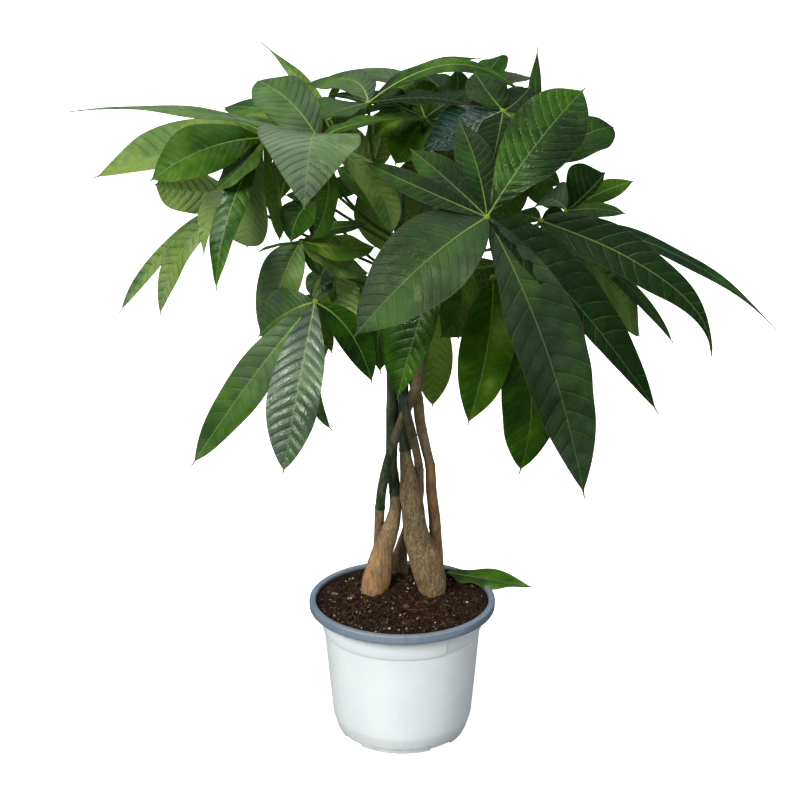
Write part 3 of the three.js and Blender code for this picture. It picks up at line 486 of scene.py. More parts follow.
# ---------------------------------------------------------------- gathering meshes
class Shape:
    """Points and faces gathered into one mesh. Each point also keeps three triples of numbers, which
    the materials read. On a leaf, place is [vein phase, distance from the rib, share of the way to
    the tip], looks is [tone, 1 on the underside, gloss] and quilt_sheen_side is [quilt, painted sheen,
    share of the way across]. On a stem, looks is [green, cracked, glow]. On the soil it is [kind of
    crumb, share of the crumb's own colour, 0]. On the pot it is [zone, 0, 0], and place is [0, height, 0]."""

    def __init__(self):
        self.points, self.faces = [], []
        self.triples = {"place": [], "looks": [], "quilt_sheen_side": []}
        self.count = 0

    def add(self, points, faces, place=(0, 0, 0), looks=(0, 0, 0), quilt_sheen_side=(0, 0, 0)):
        points = np.asarray(points, float).reshape(-1, 3)
        self.points.append(points)
        self.faces.extend((np.asarray(f) + self.count).tolist() for f in faces)
        for rows, values in zip(self.triples.values(), (place, looks, quilt_sheen_side)):
            rows.append(np.broadcast_to(np.asarray(values, float).reshape(-1, 3), points.shape))
        self.count += len(points)

    def build(self, name, material, crease=50.0):
        mesh = bpy.data.meshes.new(name)
        faces = [face for group in self.faces for face in group]
        mesh.from_pydata((np.vstack(self.points) * MM).tolist(), [], faces)
        for title, rows in self.triples.items():
            layer = mesh.attributes.new(title, "FLOAT_VECTOR", "POINT")
            layer.data.foreach_set("vector", np.vstack(rows).astype(np.float32).ravel())
        mesh.shade_smooth()
        mesh.set_sharp_from_angle(angle=math.radians(crease))
        mesh.materials.append(material)
        piece = bpy.data.objects.new(name, mesh)
        bpy.context.scene.collection.objects.link(piece)
        return piece


def grid_faces(rows, columns, start=0, wrap=False):
    """The quads between neighbouring rows of points; with wrap, the last column meets the first."""
    r, c = np.meshgrid(np.arange(rows - 1), np.arange(columns if wrap else columns - 1), indexing="ij")
    here = r * columns + c
    beside = r * columns + (c + 1) % columns
    return np.stack([here, here + columns, beside + columns, beside], -1).reshape(-1, 4) + start


def ripple(points, size, seed, waves=14):
    """Smooth random heights from about -1 to 1, which change over the given size."""
    draw = np.random.default_rng(seed)
    directions = unit(draw.normal(size=(waves, 3))) * draw.uniform(0.6, 1.5, (waves, 1)) * math.pi / size
    phases = draw.uniform(0, 2 * math.pi, waves)
    return np.sin(np.asarray(points) @ directions.T + phases).sum(-1) / math.sqrt(2 * waves)


def step(low, high, value):
    """A smooth rise from 0 at low to 1 at high."""
    share = np.clip((value - low) / (high - low), 0, 1)
    return share * share * (3 - 2 * share)


def bell(distance, spread):
    return np.exp(-((distance / spread) ** 2))


def stacked(*columns):
    """Columns of numbers side by side, as rows."""
    return np.stack(np.broadcast_arrays(*columns), -1)


def tube_rings(centres, radii, sides):
    """Rings of points round a line, without twist: the points, and the outward way at each."""
    runs = unit(np.gradient(centres, axis=0))
    start = np.array([1.0, 0, 0]) if abs(runs[0][0]) < 0.9 else np.array([0, 1.0, 0])
    across = [unit(start - runs[0] * (start @ runs[0]))]
    for run in runs[1:]:
        last = across[-1]
        across.append(unit(last - run * (last @ run)))
    across = np.array(across)
    beside = np.cross(runs, across)
    angles = np.linspace(0, 2 * math.pi, sides, endpoint=False)
    out = across[:, None] * np.cos(angles)[:, None] + beside[:, None] * np.sin(angles)[:, None]
    radii = np.broadcast_to(radii, len(centres))
    return centres[:, None] + out * radii[:, None, None], out


def tube_faces(rows, sides):
    """The faces of a closed tube whose ends are points after its rings."""
    first, last = rows * sides, rows * sides + 1
    around = np.arange(sides)
    following = (around + 1) % sides
    base = (rows - 1) * sides
    start_cap = stacked(around, following, first)
    end_cap = stacked(base + following, base + around, last)
    return [grid_faces(rows, sides, wrap=True)[:, ::-1], start_cap[:, ::-1], end_cap[:, ::-1]]


def add_rings(shape, rings, centres, place, looks):
    """A closed tube of the rings. Its place and looks are one triple, or one for each ring."""
    count, sides = rings.shape[:2]
    points = np.vstack([rings.reshape(-1, 3), centres[:1], centres[-1:]])
    triples = [place, looks]
    for index, rows in enumerate(triples):
        if np.ndim(rows) > 1:
            triples[index] = np.vstack([np.repeat(rows, sides, 0), rows[:1], rows[-1:]])
    shape.add(points, tube_faces(count, sides), *triples)


# ---------------------------------------------------------------- materials
class Shader:
    """The node tree of a material or a world, built one call at a time."""

    def __init__(self, name, shelf="materials"):
        self.owner = getattr(bpy.data, shelf).new(name)
        self.owner.use_nodes = True
        self.tree = self.owner.node_tree
        self.tree.nodes.clear()

    def node(self, kind, settings=(), **inputs):
        made = self.tree.nodes.new("ShaderNode" + kind)
        for key, value in dict(settings).items():
            setattr(made, key, value)
        for key, value in inputs.items():
            self.put(made.inputs[key.replace("_", " ")], value)
        return made

    def put(self, socket, value):
        if isinstance(value, bpy.types.NodeSocket):
            self.tree.links.new(value, socket)
        elif socket.type == "RGBA":
            socket.default_value = (*value, 1.0)
        else:
            socket.default_value = value

    def maths(self, operation, *values):
        made = self.node("Math", {"operation": operation})
        for socket, value in zip(made.inputs, values):
            self.put(socket, value)
        return made.outputs[0]

    def times(self, first, second):
        return self.maths("MULTIPLY", first, second)

    def scaled(self, value, factor, added):
        return self.maths("MULTIPLY_ADD", value, factor, added)

    def moved(self, value, noise, size):
        """The value, moved up and down by the noise, whose own middle is a half."""
        return self.scaled(self.maths("SUBTRACT", noise, 0.5), size, value)

    def blend(self, share, first, second):
        """The first number's share and the rest of the second, added up."""
        return self.scaled(first, share, self.times(second, 1.0 - share))

    def inverse(self, value):
        return self.maths("SUBTRACT", 1.0, value)

    def parts(self, vector):
        return self.node("SeparateXYZ", Vector=vector).outputs

    def read(self, title):
        """The three numbers that each point keeps under the title."""
        return self.parts(self.node("Attribute", {"attribute_name": title}).outputs["Vector"])

    def here(self):
        """The point on the object, in metres."""
        return self.node("TexCoord").outputs["Object"]

    def vector(self, operation, first, second):
        made = self.node("VectorMath", {"operation": operation})
        self.put(made.inputs[0], first)
        self.put(made.inputs[1], second)
        return made.outputs[0]

    def squashed(self, vector, share):
        """The vector with its height scaled down, which draws what follows from it out in height."""
        return self.vector("MULTIPLY", vector, (1.0, 1.0, share))

    def noise(self, vector, scale, detail=3.0, rough=0.55, output="Fac"):
        made = self.node("TexNoise", Vector=vector, Scale=scale, Detail=detail, Roughness=rough)
        return made.outputs[output]

    def cells(self, vector, scale, feature="F1"):
        return self.node("TexVoronoi", {"feature": feature}, Vector=vector, Scale=scale).outputs["Distance"]

    def between(self, value, low, high, start=0.0, end=1.0):
        """A smooth change from start at low to end at high."""
        made = self.node("MapRange", {"interpolation_type": "SMOOTHSTEP"}, Value=value)
        for index, number in enumerate((low, high, start, end)):
            self.put(made.inputs[index + 1], number)
        return made.outputs[0]

    def mix(self, share, first, second, blend="MIX"):
        made = self.node("Mix", {"data_type": "RGBA", "blend_type": blend})
        for index, value in ((0, share), (6, first), (7, second)):
            self.put(made.inputs[index], value)
        return made.outputs[2]

    def ramp(self, value, stops):
        made = self.node("ValToRGB", Fac=value)
        while len(made.color_ramp.elements) < len(stops):
            made.color_ramp.elements.new(0.5)
        for element, (place, colour) in zip(made.color_ramp.elements, stops):
            element.position = place
            element.color = (*colour, 1.0)
        return made.outputs["Color"]

    def bump(self, height, strength, distance, under=None):
        made = self.node("Bump", Height=height, Strength=strength, Distance=distance)
        if under is not None:
            self.put(made.inputs["Normal"], under)
        return made.outputs["Normal"]

    def finish(self, surface, kind="Material"):
        self.tree.links.new(surface, self.node("Output" + kind).inputs["Surface"])
        return self.owner


def leaf_material():
    s = Shader("leaf_skin")
    phase, away, along = s.read("place")
    tone, under, gloss = s.read("looks")
    crease, sheen_and_blue, side = s.read("quilt_sheen_side")
    sheen = s.maths("MAXIMUM", sheen_and_blue, 0.0)
    blue = s.between(sheen_and_blue, 0.0, -1.0)
    here = s.here()
    patches = s.noise(here, 20.0, 4.0)
    grains = s.noise(here, 380.0, 3.0, 0.6)
    mottle = s.noise(here, 75.0, 4.0, 0.6)
    drift = s.noise(here, 13.0, 3.0, 0.6)
    shade = s.moved(s.moved(tone, patches, 1.5), mottle, 0.7)
    # Painted light and shade: one half of a blade is painted a little lighter than the other, as if the
    # halves caught the light differently, and the hub end is painted darkest, as if in shade.
    half = s.between(side, -0.15, 0.15, -0.5, 0.5)
    shade = s.scaled(half, s.maths("SUBTRACT", drift, 0.35), shade)
    shade = s.maths("ADD", shade, s.between(along, 0.0, 0.35, -0.14, 0.03))
    skin = s.ramp(shade, [
        (0.0, (0.002, 0.010, 0.005)), (0.25, (0.009, 0.038, 0.007)), (0.5, (0.024, 0.086, 0.004)),
        (0.75, (0.066, 0.160, 0.008)), (1.0, (0.200, 0.300, 0.050)),
    ])
    skin = s.mix(s.between(grains, 0.4, 0.8, 0.0, 0.2), skin, (0.05, 0.11, 0.015))
    # The side veins lie in creases: a thin pale line, with painted shade darkening the blade next to it,
    # more on more quilted blades.
    to_vein = s.maths("PINGPONG", s.moved(phase, grains, 0.06), 0.5)
    side_vein = s.between(to_vein, 0.01, 0.05, 1.0, 0.0)
    fading = s.between(s.noise(here, 48.0, 2.0), 0.38, 0.62, 0.25, 1.0)
    near_vein = s.times(s.between(to_vein, 0.0, 0.16, 1.0, 0.0), fading)
    depth = s.times(near_vein, s.between(crease, 0.1, 1.3, 0.14, 0.75))
    skin = s.mix(depth, skin, s.mix(0.7, skin, (0.002, 0.010, 0.003)))
    vein_share = s.times(side_vein, s.between(patches, 0.38, 0.62, 0.03, 0.34))
    skin = s.mix(vein_share, skin, (0.17, 0.28, 0.07))
    # A dusty bloom lies on the raised panels between the veins.
    # Painted sheen: a grey reflection of the sky is painted on the raised panels between the veins, in
    # drifting patches, and a blue one on blades whose sheen is below 0.
    panel = s.between(s.scaled(grains, 0.25, to_vein), 0.05, 0.45, 0.55, 1.0)
    painted_sheen = s.times(s.times(sheen, panel), s.between(drift, 0.36, 0.62, 0.08, 0.36))
    skin = s.mix(painted_sheen, skin, (0.36, 0.43, 0.37))
    skin = s.mix(s.times(blue, 0.5), skin, (0.003, 0.045, 0.075))
    # The rib is a thin pale line, yellowest next to the hub.
    rib_edge = s.scaled(along, -0.35, 0.55)
    rib = s.between(s.maths("SUBTRACT", away, rib_edge), -0.15, 0.2, 1.0, 0.0)
    rib_skin = s.mix(s.between(along, 0.0, 0.5), (0.36, 0.48, 0.09), (0.21, 0.31, 0.10))
    skin = s.mix(s.times(rib, s.between(tone, 0.0, 0.6, 0.5, 0.95)), skin, rib_skin)
    margin = s.between(s.maths("ABSOLUTE", side), 0.955, 0.985)
    skin = s.mix(s.times(margin, 0.55), skin, (0.075, 0.048, 0.030))
    # Below, the blade is paler, painted shade darkens it a little next to the side veins, and the side
    # veins stand out like rungs.
    below = s.mix(0.8, skin, s.mix(tone, (0.045, 0.080, 0.014), (0.36, 0.42, 0.13)))
    below = s.mix(s.times(near_vein, 0.3), below, (0.06, 0.085, 0.012))
    below = s.mix(s.times(side_vein, 0.6), below, (0.46, 0.52, 0.20))
    skin = s.mix(under, skin, below)
    # Tips dry out to brown here and there.
    dry = s.times(s.between(along, 0.93, 0.995), s.between(patches, 0.42, 0.6))
    skin = s.mix(s.times(dry, 0.8), skin, (0.085, 0.052, 0.028))
    # The stalk and the hub are marked by a negative distance from the rib.
    stalk = s.between(away, -0.6, -0.4, 1.0, 0.0)
    stalk_skin = s.mix(s.between(away, -3.0, -1.0), (0.24, 0.36, 0.04), (0.045, 0.11, 0.02))
    stalk_skin = s.mix(s.between(patches, 0.3, 0.7, 0.0, 0.4), stalk_skin, (0.10, 0.12, 0.04))
    skin = s.mix(stalk, skin, stalk_skin)
    # Small veins net the blade between the side veins.
    rungs = s.node("CombineXYZ", X=s.times(phase, 2.2), Y=s.times(away, 0.30)).outputs[0]
    net = s.cells(rungs, 1.0, "DISTANCE_TO_EDGE")
    relief = s.scaled(grains, 0.35, s.between(net, 0.0, 0.3))
    bump = s.bump(relief, s.between(crease, 0.0, 1.2, 0.12, 0.2), 0.0006)
    bump = s.bump(s.inverse(near_vein), s.between(crease, 0.1, 1.3, 0.2, 0.8), 0.0009, bump)
    dull = s.between(mottle, 0.3, 0.7, -0.12, 0.14)
    rough = s.maths("ADD", s.scaled(gloss, -0.24, 0.50), dull)
    rough = s.scaled(under, 0.22, rough)
    body = s.node("BsdfPrincipled", Base_Color=skin, Roughness=rough, Normal=bump)
    shine = s.scaled(sheen, 0.25, s.scaled(gloss, 0.42, 0.06))
    s.put(body.inputs["Specular IOR Level"], shine)
    glint = s.mix(s.between(gloss, 0.3, 1.0), (0.66, 0.92, 0.42), (0.86, 1.0, 0.94))
    s.put(body.inputs["Specular Tint"], glint)
    # Light shines through the blade.
    through = s.node("BsdfTranslucent", Color=s.mix(0.8, skin, (0.23, 0.43, 0.04)), Normal=bump)
    both = s.node("MixShader", Fac=0.3)
    s.put(both.inputs[1], body.outputs[0])
    s.put(both.inputs[2], through.outputs[0])
    return s.finish(both.outputs[0])


def bark_material():
    s = Shader("stem_bark")
    green, cracked, glow = s.read("looks")
    here = s.here()
    tall = s.squashed(here, 0.28)
    flecks = s.noise(tall, 620.0, 4.0, 0.65)
    blotches = s.noise(s.squashed(here, 0.6), 85.0, 5.0, 0.6)
    streaks = s.noise(s.squashed(here, 0.09), 520.0)
    bark = s.ramp(s.blend(0.45, flecks, blotches), [
        (0.34, (0.095, 0.066, 0.037)), (0.45, (0.220, 0.160, 0.079)),
        (0.56, (0.340, 0.258, 0.130)), (0.68, (0.50, 0.39, 0.22)),
    ])
    bark = s.mix(s.between(streaks, 0.48, 0.72, 0.0, 0.4), bark, (0.11, 0.070, 0.042))
    moss = s.noise(s.squashed(here, 0.4), 60.0, 4.0, 0.6)
    bark = s.mix(s.between(moss, 0.5, 0.66, 0.0, 0.45), bark, (0.10, 0.115, 0.040))
    # Cracks run up and down the thick stem in a net.
    sway = s.noise(here, 160.0, 2.0, 0.5, "Color")
    wobble = s.vector("ADD", s.squashed(here, 0.2), s.vector("MULTIPLY", sway, (0.004, 0.004, 0.004)))
    net = s.cells(wobble, 680.0, "DISTANCE_TO_EDGE")
    crack = s.times(s.between(net, 0.02, 0.16, 1.0, 0.0), cracked)
    bark = s.mix(s.times(crack, 0.65), bark, (0.045, 0.032, 0.016))
    orange = s.mix(s.between(streaks, 0.4, 0.65), (0.50, 0.205, 0.048), (0.18, 0.078, 0.03))
    bark = s.mix(s.times(glow, s.between(blotches, 0.35, 0.6, 0.45, 1.0)), bark, orange)
    # The upper stem is still green.
    skin = s.ramp(s.noise(tall, 190.0, 4.0), [
        (0.3, (0.012, 0.030, 0.014)), (0.5, (0.045, 0.072, 0.034)), (0.72, (0.135, 0.155, 0.070)),
    ])
    skin = s.mix(s.between(flecks, 0.62, 0.7, 0.0, 0.55), skin, (0.24, 0.22, 0.13))
    colour = s.mix(s.between(s.moved(green, flecks, 0.5), 0.35, 0.65), bark, skin)
    bump = s.bump(s.blend(0.5, flecks, streaks), 0.6, 0.0008)
    bump = s.bump(s.inverse(crack), 0.8, 0.0012, bump)
    rough = s.between(green, 0.2, 0.8, 0.82, 0.5)
    body = s.node("BsdfPrincipled", Base_Color=colour, Roughness=rough, Normal=bump)
    return s.finish(body.outputs[0])


def soil_material():
    s = Shader("soil_crumbs")
    kind, lightness, _ = s.read("looks")
    here = s.here()
    grains = s.noise(here, 700.0, 4.0, 0.7)
    earth = s.ramp(s.blend(0.55, grains, s.noise(here, 120.0)), [
        (0.32, (0.005, 0.0028, 0.002)), (0.5, (0.018, 0.0095, 0.006)), (0.68, (0.052, 0.027, 0.015)),
    ])
    crumb = s.ramp(kind, [
        (0.0, (0.014, 0.008, 0.005)), (0.3, (0.056, 0.027, 0.014)), (0.5, (0.12, 0.066, 0.036)),
        (0.7, (0.12, 0.11, 0.040)), (0.86, (0.20, 0.19, 0.08)), (1.0, (0.74, 0.71, 0.64)),
    ])
    speckle = s.ramp(grains, [(0.3, (0.4, 0.4, 0.4)), (0.7, (1.25, 1.2, 1.15))])
    colour = s.mix(lightness, earth, s.mix(0.7, crumb, speckle, "MULTIPLY"))
    body = s.node("BsdfPrincipled", Base_Color=colour, Roughness=0.9, Normal=s.bump(grains, 0.8, 0.0008))
    body.inputs["Specular IOR Level"].default_value = 0.12
    return s.finish(body.outputs[0])


def pot_material():
    s = Shader("pot_plastic")
    zone = s.read("looks")[0]
    height = s.read("place")[1]
    here = s.here()
    clouds = s.noise(here, 16.0)
    smears = s.noise(s.squashed(here, 0.35), 48.0, 5.0, 0.65)
    shell = s.mix(s.between(clouds, 0.35, 0.65), (0.80, 0.85, 0.86), (0.745, 0.805, 0.835))
    shell = s.mix(s.between(smears, 0.58, 0.74, 0.0, 0.22), shell, (0.52, 0.53, 0.52))
    # A few specks of soil stick to the outside, and the foot is a little grimy.
    specks = s.between(s.cells(here, 210.0), 0.0, 0.11, 1.0, 0.0)
    rare = s.between(s.noise(here, 34.0, 2.0), 0.60, 0.68)
    shell = s.mix(s.times(specks, rare), shell, (0.13, 0.10, 0.08))
    grime = s.times(s.between(height, 2.0, 16.0, 0.28, 0.0), s.between(smears, 0.4, 0.62))
    shell = s.mix(grime, shell, (0.40, 0.38, 0.34))
    rim = s.mix(s.between(clouds, 0.3, 0.7), (0.125, 0.172, 0.225), (0.185, 0.238, 0.292))
    rim = s.mix(s.times(specks, 0.6), rim, (0.05, 0.04, 0.035))
    inner = s.mix(s.between(smears, 0.4, 0.7), (0.022, 0.028, 0.036), (0.055, 0.050, 0.045))
    colour = s.mix(s.between(zone, 0.45, 0.55), shell, rim)
    colour = s.mix(s.between(zone, 1.4, 1.6), colour, inner)
    bump = s.bump(s.noise(here, 26.0, 2.0), 0.35, 0.0016)
    bump = s.bump(s.noise(here, 900.0, 2.0), 0.12, 0.0002, bump)
    rough = s.scaled(zone, -0.1, s.between(smears, 0.3, 0.7, 0.34, 0.48))
    body = s.node("BsdfPrincipled", Base_Color=colour, Roughness=rough, Normal=bump)
    return s.finish(body.outputs[0])


# ---------------------------------------------------------------- pot
def lathe(profile, sides):
    """Points round the axis for each [radius, height] of the profile, their bearing from the front
    in degrees, and the faces, with both ends closed on the axis."""
    rows = np.array(profile, float)
    bearings = np.linspace(0, 360, sides, endpoint=False)
    angle = np.radians(bearings)
    flat = rows[:, None, :1] * stacked(np.sin(angle), -np.cos(angle))[None]
    points = np.concatenate([flat, np.broadcast_to(rows[:, None, 1:], (*flat.shape[:2], 1))], -1)
    ends = [[0, 0, rows[0, 1]], [0, 0, rows[-1, 1]]]
    faces = tube_faces(len(rows), sides)
    return np.vstack([points.reshape(-1, 3), ends]), np.tile(bearings, len(rows)), faces


def cut(piece, cutters):
    """Takes the cutters' shapes out of the piece for good."""
    for cutter in cutters:
        taking = piece.modifiers.new("cut", "BOOLEAN")
        taking.operation = "DIFFERENCE"
        taking.solver = "EXACT"
        taking.object = cutter
    graph = bpy.context.evaluated_depsgraph_get()
    cut_mesh = bpy.data.meshes.new_from_object(piece.evaluated_get(graph))
    piece.modifiers.clear()
    piece.data = cut_mesh
    for cutter in cutters:
        bpy.data.objects.remove(cutter)


def mark_zones(pot):
    """Writes the zone and the height of each point, once the cuts are made."""
    mesh = pot.data
    spots = np.empty(len(mesh.vertices) * 3)
    mesh.vertices.foreach_get("co", spots)
    spots = spots.reshape(-1, 3) / MM
    height = spots[:, 2]
    radius = np.hypot(spots[:, 0], spots[:, 1])
    wall_radii, wall_heights = np.transpose(POT_WALL)
    within = radius < np.interp(height, wall_heights, wall_radii) - INSIDE_STEP
    zones = np.where(within & (height > FLOOR_TOP), INSIDE, WHITE)
    on_rim = (height > RIM_SKIRT) & (radius > RIM_INSIDE) | (height > RIM_SHOULDER)
    zones = np.where(on_rim, SLATE, zones)
    for title, rows in (("place", stacked(0, height, 0)), ("looks", stacked(zones, 0, 0))):
        mesh.attributes[title].data.foreach_set("vector", rows.astype(np.float32).ravel())


def turns_round(count, extra=0.0):
    """The cosine, sine and angle of evenly spread turns about the axis."""
    for i in range(count):
        turn = (i + 0.5) * 2 * math.pi / count + extra
        yield math.cos(turn), math.sin(turn), turn


def make_pot(material):
    points, bearings, faces = lathe(POT_UNDERSIDE + POT_WALL + POT_RIM + POT_INSIDE, POT_SIDES)
    body = points[:-2]
    height = body[:, 2]
    radius = np.hypot(body[:, 0], body[:, 1])
    # Past the step the raised band stands out less.
    step_end = STEP_BEARING + STEP_SPAN
    past = step(STEP_BEARING - 0.3, STEP_BEARING + 0.3, bearings)
    past = past - step(step_end, step_end + STEP_FADE, bearings)
    on_band = step(BAND_BOTTOM - 0.5, BAND_BOTTOM, height) * step(BAND_TOP + 1.5, BAND_TOP - 0.5, height)
    drop = STEP_DEPTH * past * on_band * (radius > BAND_RADIUS)
    # A thin wall is never quite round between the foot and the band.
    bulge = WALL_BULGE * ripple(body, BULGE_SPAN, 11) * (step(6, 40, height) * step(121, 100, height))
    body[:, :2] *= (1 + (bulge - drop) / np.maximum(radius, 1))[:, None]
    shape = Shape()
    shape.add(points, faces)
    pot = shape.build("pot_shell", material, POT_CREASE)
    cutters = []
    for x, y, _ in turns_round(DRAIN_COUNT):
        bpy.ops.mesh.primitive_cylinder_add(
            vertices=32, radius=DRAIN_RADIUS * MM, depth=DRAIN_CUT * MM,
            location=(DRAIN_CIRCLE * x * MM, DRAIN_CIRCLE * y * MM, DRAIN_MIDDLE * MM))
        cutters.append(bpy.context.object)
    for x, y, turn in turns_round(NOTCH_COUNT, NOTCH_TURN):
        bpy.ops.mesh.primitive_cube_add(size=1, location=(NOTCH_CIRCLE * x * MM, NOTCH_CIRCLE * y * MM, 0))
        notch = bpy.context.object
        notch.rotation_euler.z = turn
        notch.scale = [side * MM for side in NOTCH_SIZE]
        cutters.append(notch)
    cut(pot, cutters)
    mark_zones(pot)
    return pot


# ---------------------------------------------------------------- soil
def soil_surface(x, y):
    """The height of the soil's lumpy top, which is banked up round the stems."""
    flat = stacked(x, y, 0.0)
    lumps = sum(height * ripple(flat, span, seed, waves) for height, span, seed, waves in SOIL_LUMPS)
    calm = step(78, 70, np.hypot(x, y))
    heap_x, heap_y, _ = at(*HEAP_PLACE)
    mound = SOIL_MOUND * bell(np.hypot(x, y + MOUND_TOWARD), MOUND_SPREAD)
    heap = HEAP_HEIGHT * bell(np.hypot(x - heap_x, y - heap_y), HEAP_SPREAD)
    return SOIL_EDGE + mound + heap + lumps * (0.15 + 0.85 * calm)


def ball(divisions):
    """The points and triangles of a ball of radius 1."""
    made = bmesh.new()
    bmesh.ops.create_icosphere(made, subdivisions=divisions, radius=1.0)
    points = np.array([v.co[:] for v in made.verts])
    faces = np.array([[v.index for v in f.verts] for f in made.faces])
    made.free()
    return points, faces


CRUMB_POINTS, CRUMB_FACES = ball(1)


def crumb(draw, size, flatness):
    """The points of a small angular lump about its middle."""
    lump = CRUMB_POINTS * (1 + CRUMB_JAGGED * draw.normal(size=(len(CRUMB_POINTS), 1)))
    lump = lump * size * np.array([1.0, draw.uniform(0.55, 1.0), flatness])
    a, b, _ = draw.uniform(0, 2 * math.pi, 3)
    turn = np.array([[math.cos(a), -math.sin(a), 0], [math.sin(a), math.cos(a), 0], [0, 0, 1]])
    tip = np.array([[1, 0, 0], [0, math.cos(b), -math.sin(b)], [0, math.sin(b), math.cos(b)]])
    return lump @ tip.T @ turn.T


def scattered(draw, farthest):
    """A place on a disc of the radius, anywhere alike."""
    reach = farthest * math.sqrt(draw.uniform())
    turn = draw.uniform(0, 2 * math.pi)
    return reach * math.cos(turn), reach * math.sin(turn)


def make_soil(material):
    rows = SOIL_WALL + [(radius, SOIL_EDGE) for radius in SOIL_TOP_RINGS]
    points, _, faces = lathe(rows, SOIL_SIDES)
    top = np.arange(len(points)) >= len(SOIL_WALL) * SOIL_SIDES
    top[-2] = False  # the middle of the underside
    points[top, 2] = soil_surface(points[top, 0], points[top, 1])
    shape = Shape()
    crumbly = np.where(top, 0.25 * step(0.2, 1.2, ripple(points, 9, 24)), 0)
    shape.add(points, faces, looks=stacked(0.35, crumbly, 0))
    draw = np.random.default_rng(5)
    for _ in range(CRUMB_COUNT):
        x, y = scattered(draw, CRUMB_REACH)
        size = min(CRUMB_SIZE * math.exp(draw.normal(*CRUMB_SIZE_SPREAD)), CRUMB_LARGEST)
        kind = draw.choice(CRUMB_KINDS, p=CRUMB_SHARES)
        if kind == WHITE_GRAIN:
            size = draw.uniform(*WHITE_GRAIN_SIZES)
        middle = np.array([x, y, float(soil_surface(np.array(x), np.array(y))) + 0.25 * size])
        lump = crumb(draw, size, draw.uniform(0.5, 1.0)) + middle
        shape.add(lump, [CRUMB_FACES], looks=(kind + draw.uniform(-0.04, 0.0), 0.9, 0))
    for _ in range(FIBRE_COUNT):
        start_x, start_y = scattered(draw, FIBRE_STARTS)
        heading = draw.uniform(0, 2 * math.pi)
        bend = draw.uniform(-0.09, 0.09)
        length = draw.uniform(*FIBRE_LENGTHS)
        ways = heading + bend * np.linspace(0, length, FIBRE_STEPS)
        x = start_x + np.cumsum(np.cos(ways)) * length / FIBRE_STEPS
        y = start_y + np.cumsum(np.sin(ways)) * length / FIBRE_STEPS
        keep = np.hypot(x, y) < FIBRE_REACH
        if keep.sum() < 4:
            continue
        x, y = x[keep], y[keep]
        line = stacked(x, y, soil_surface(x, y) + 0.5)
        rings, _ = tube_rings(line, draw.uniform(*FIBRE_RADII), 5)
        add_rings(shape, rings, line, (0, 0, 0), (draw.choice(FIBRE_KINDS), 0.9, 0))
    return shape.build("soil_bed", material, 180)


# ---------------------------------------------------------------- stems
def spline(route, steps):
    """A centripetal Catmull-Rom curve through the rows of route; only the first three columns of a
    row say where it is, and the others are carried along."""
    rows = np.asarray(route, float)
    rows = np.vstack([2 * rows[0] - rows[1], rows, 2 * rows[-1] - rows[-2]])
    made = []
    for corners in zip(rows, rows[1:], rows[2:], rows[3:]):
        gaps = [math.sqrt(np.linalg.norm((b - a)[:3])) for a, b in zip(corners, corners[1:])]
        knots = np.cumsum([0, *gaps])
        t = np.linspace(knots[1], knots[2], steps, endpoint=False)[:, None]
        level = corners
        # Each round blends neighbours over a longer run of knots, until one curve is left.
        for span, first in ((1, 0), (2, 0), (1, 1)):
            starts = range(first, first + len(level) - 1)
            level = [
                (knots[i + span] - t) / (knots[i + span] - knots[i]) * p
                + (t - knots[i]) / (knots[i + span] - knots[i]) * q
                for i, p, q in zip(starts, level, level[1:])
            ]
        made.append(level[0])
    return np.vstack([*made, rows[-2:-1]])


class Stem:
    """A stem's line from root to tip, in even steps."""

    def __init__(self, name):
        self.name, self.facts = name, STEMS[name]
        rough = spline([(*at(a, d, t), radius, d) for a, d, t, radius in self.facts["route"]], 24)
        lengths = np.append(0, np.cumsum(np.linalg.norm(np.diff(rough[:, :3], axis=0), axis=1)))
        self.shares = np.linspace(0, 1, int(lengths[-1] / STEM_STEP))
        even = np.stack([np.interp(self.shares * lengths[-1], lengths, column) for column in rough.T], -1)
        self.centres, self.radii, self.downs = even[:, :3], even[:, 3], even[:, 4]
        self.runs = unit(np.gradient(self.centres, axis=0))

    def place(self, share):
        index = int(round(share * (len(self.centres) - 1)))
        return self.centres[index], self.runs[index], self.radii[index]


def make_stem(stem, material, seed):
    skin = np.array(stem.facts["skin"])[::-1]
    green, cracked, glow = (np.interp(stem.downs, skin[:, 0], skin[:, k]) for k in (1, 2, 3))
    radii = stem.radii.copy()
    for name, down, proud in SCARS:
        if name == stem.name:
            radii += proud * bell(stem.downs - down, SCAR_SPAN)
    radii *= step(1.0, 0.985, stem.shares) * 0.75 + 0.25  # the growing tip is drawn in
    rings, out = tube_rings(stem.centres, radii, STEM_SIDES)
    # Furrows run along the bark; the green upper skin is smoother.
    tall = rings * np.array([1.0, 1.0, 0.3])
    furrows = ripple(tall, 3.0, seed, 24) * (0.05 + 0.3 * cracked[:, None]) * (1 - 0.7 * green[:, None])
    swells = ripple(rings * np.array([1, 1, 0.45]), 11.0, seed + 50) * 0.06 * radii[:, None]
    ridges = ripple(tall, 1.3, seed + 90, 24) * 0.12 * cracked[:, None]
    rings = rings + out * (furrows + swells + ridges)[..., None]
    shape = Shape()
    add_rings(shape, rings, stem.centres, (0, 0, 0), stacked(green, cracked, glow))
    return shape.build(f"bark_{stem.name}", material, 180)


# ---------------------------------------------------------------- leaves
def outline(along, widest, blunt):
    """Half the width of a leaflet, as a share of its full half width, ending in a narrow drip tip."""
    body = np.minimum(along / (1 - DRIP_LENGTH), 1)
    rise = blunt * widest / (1 - widest)
    share = body ** rise * (1 - body) ** blunt
    drip = DRIP_WIDTH * np.minimum(1, (1 - along) / (1.6 * DRIP_LENGTH))
    return np.hypot(share / (widest ** rise * (1 - widest) ** blunt), drip)


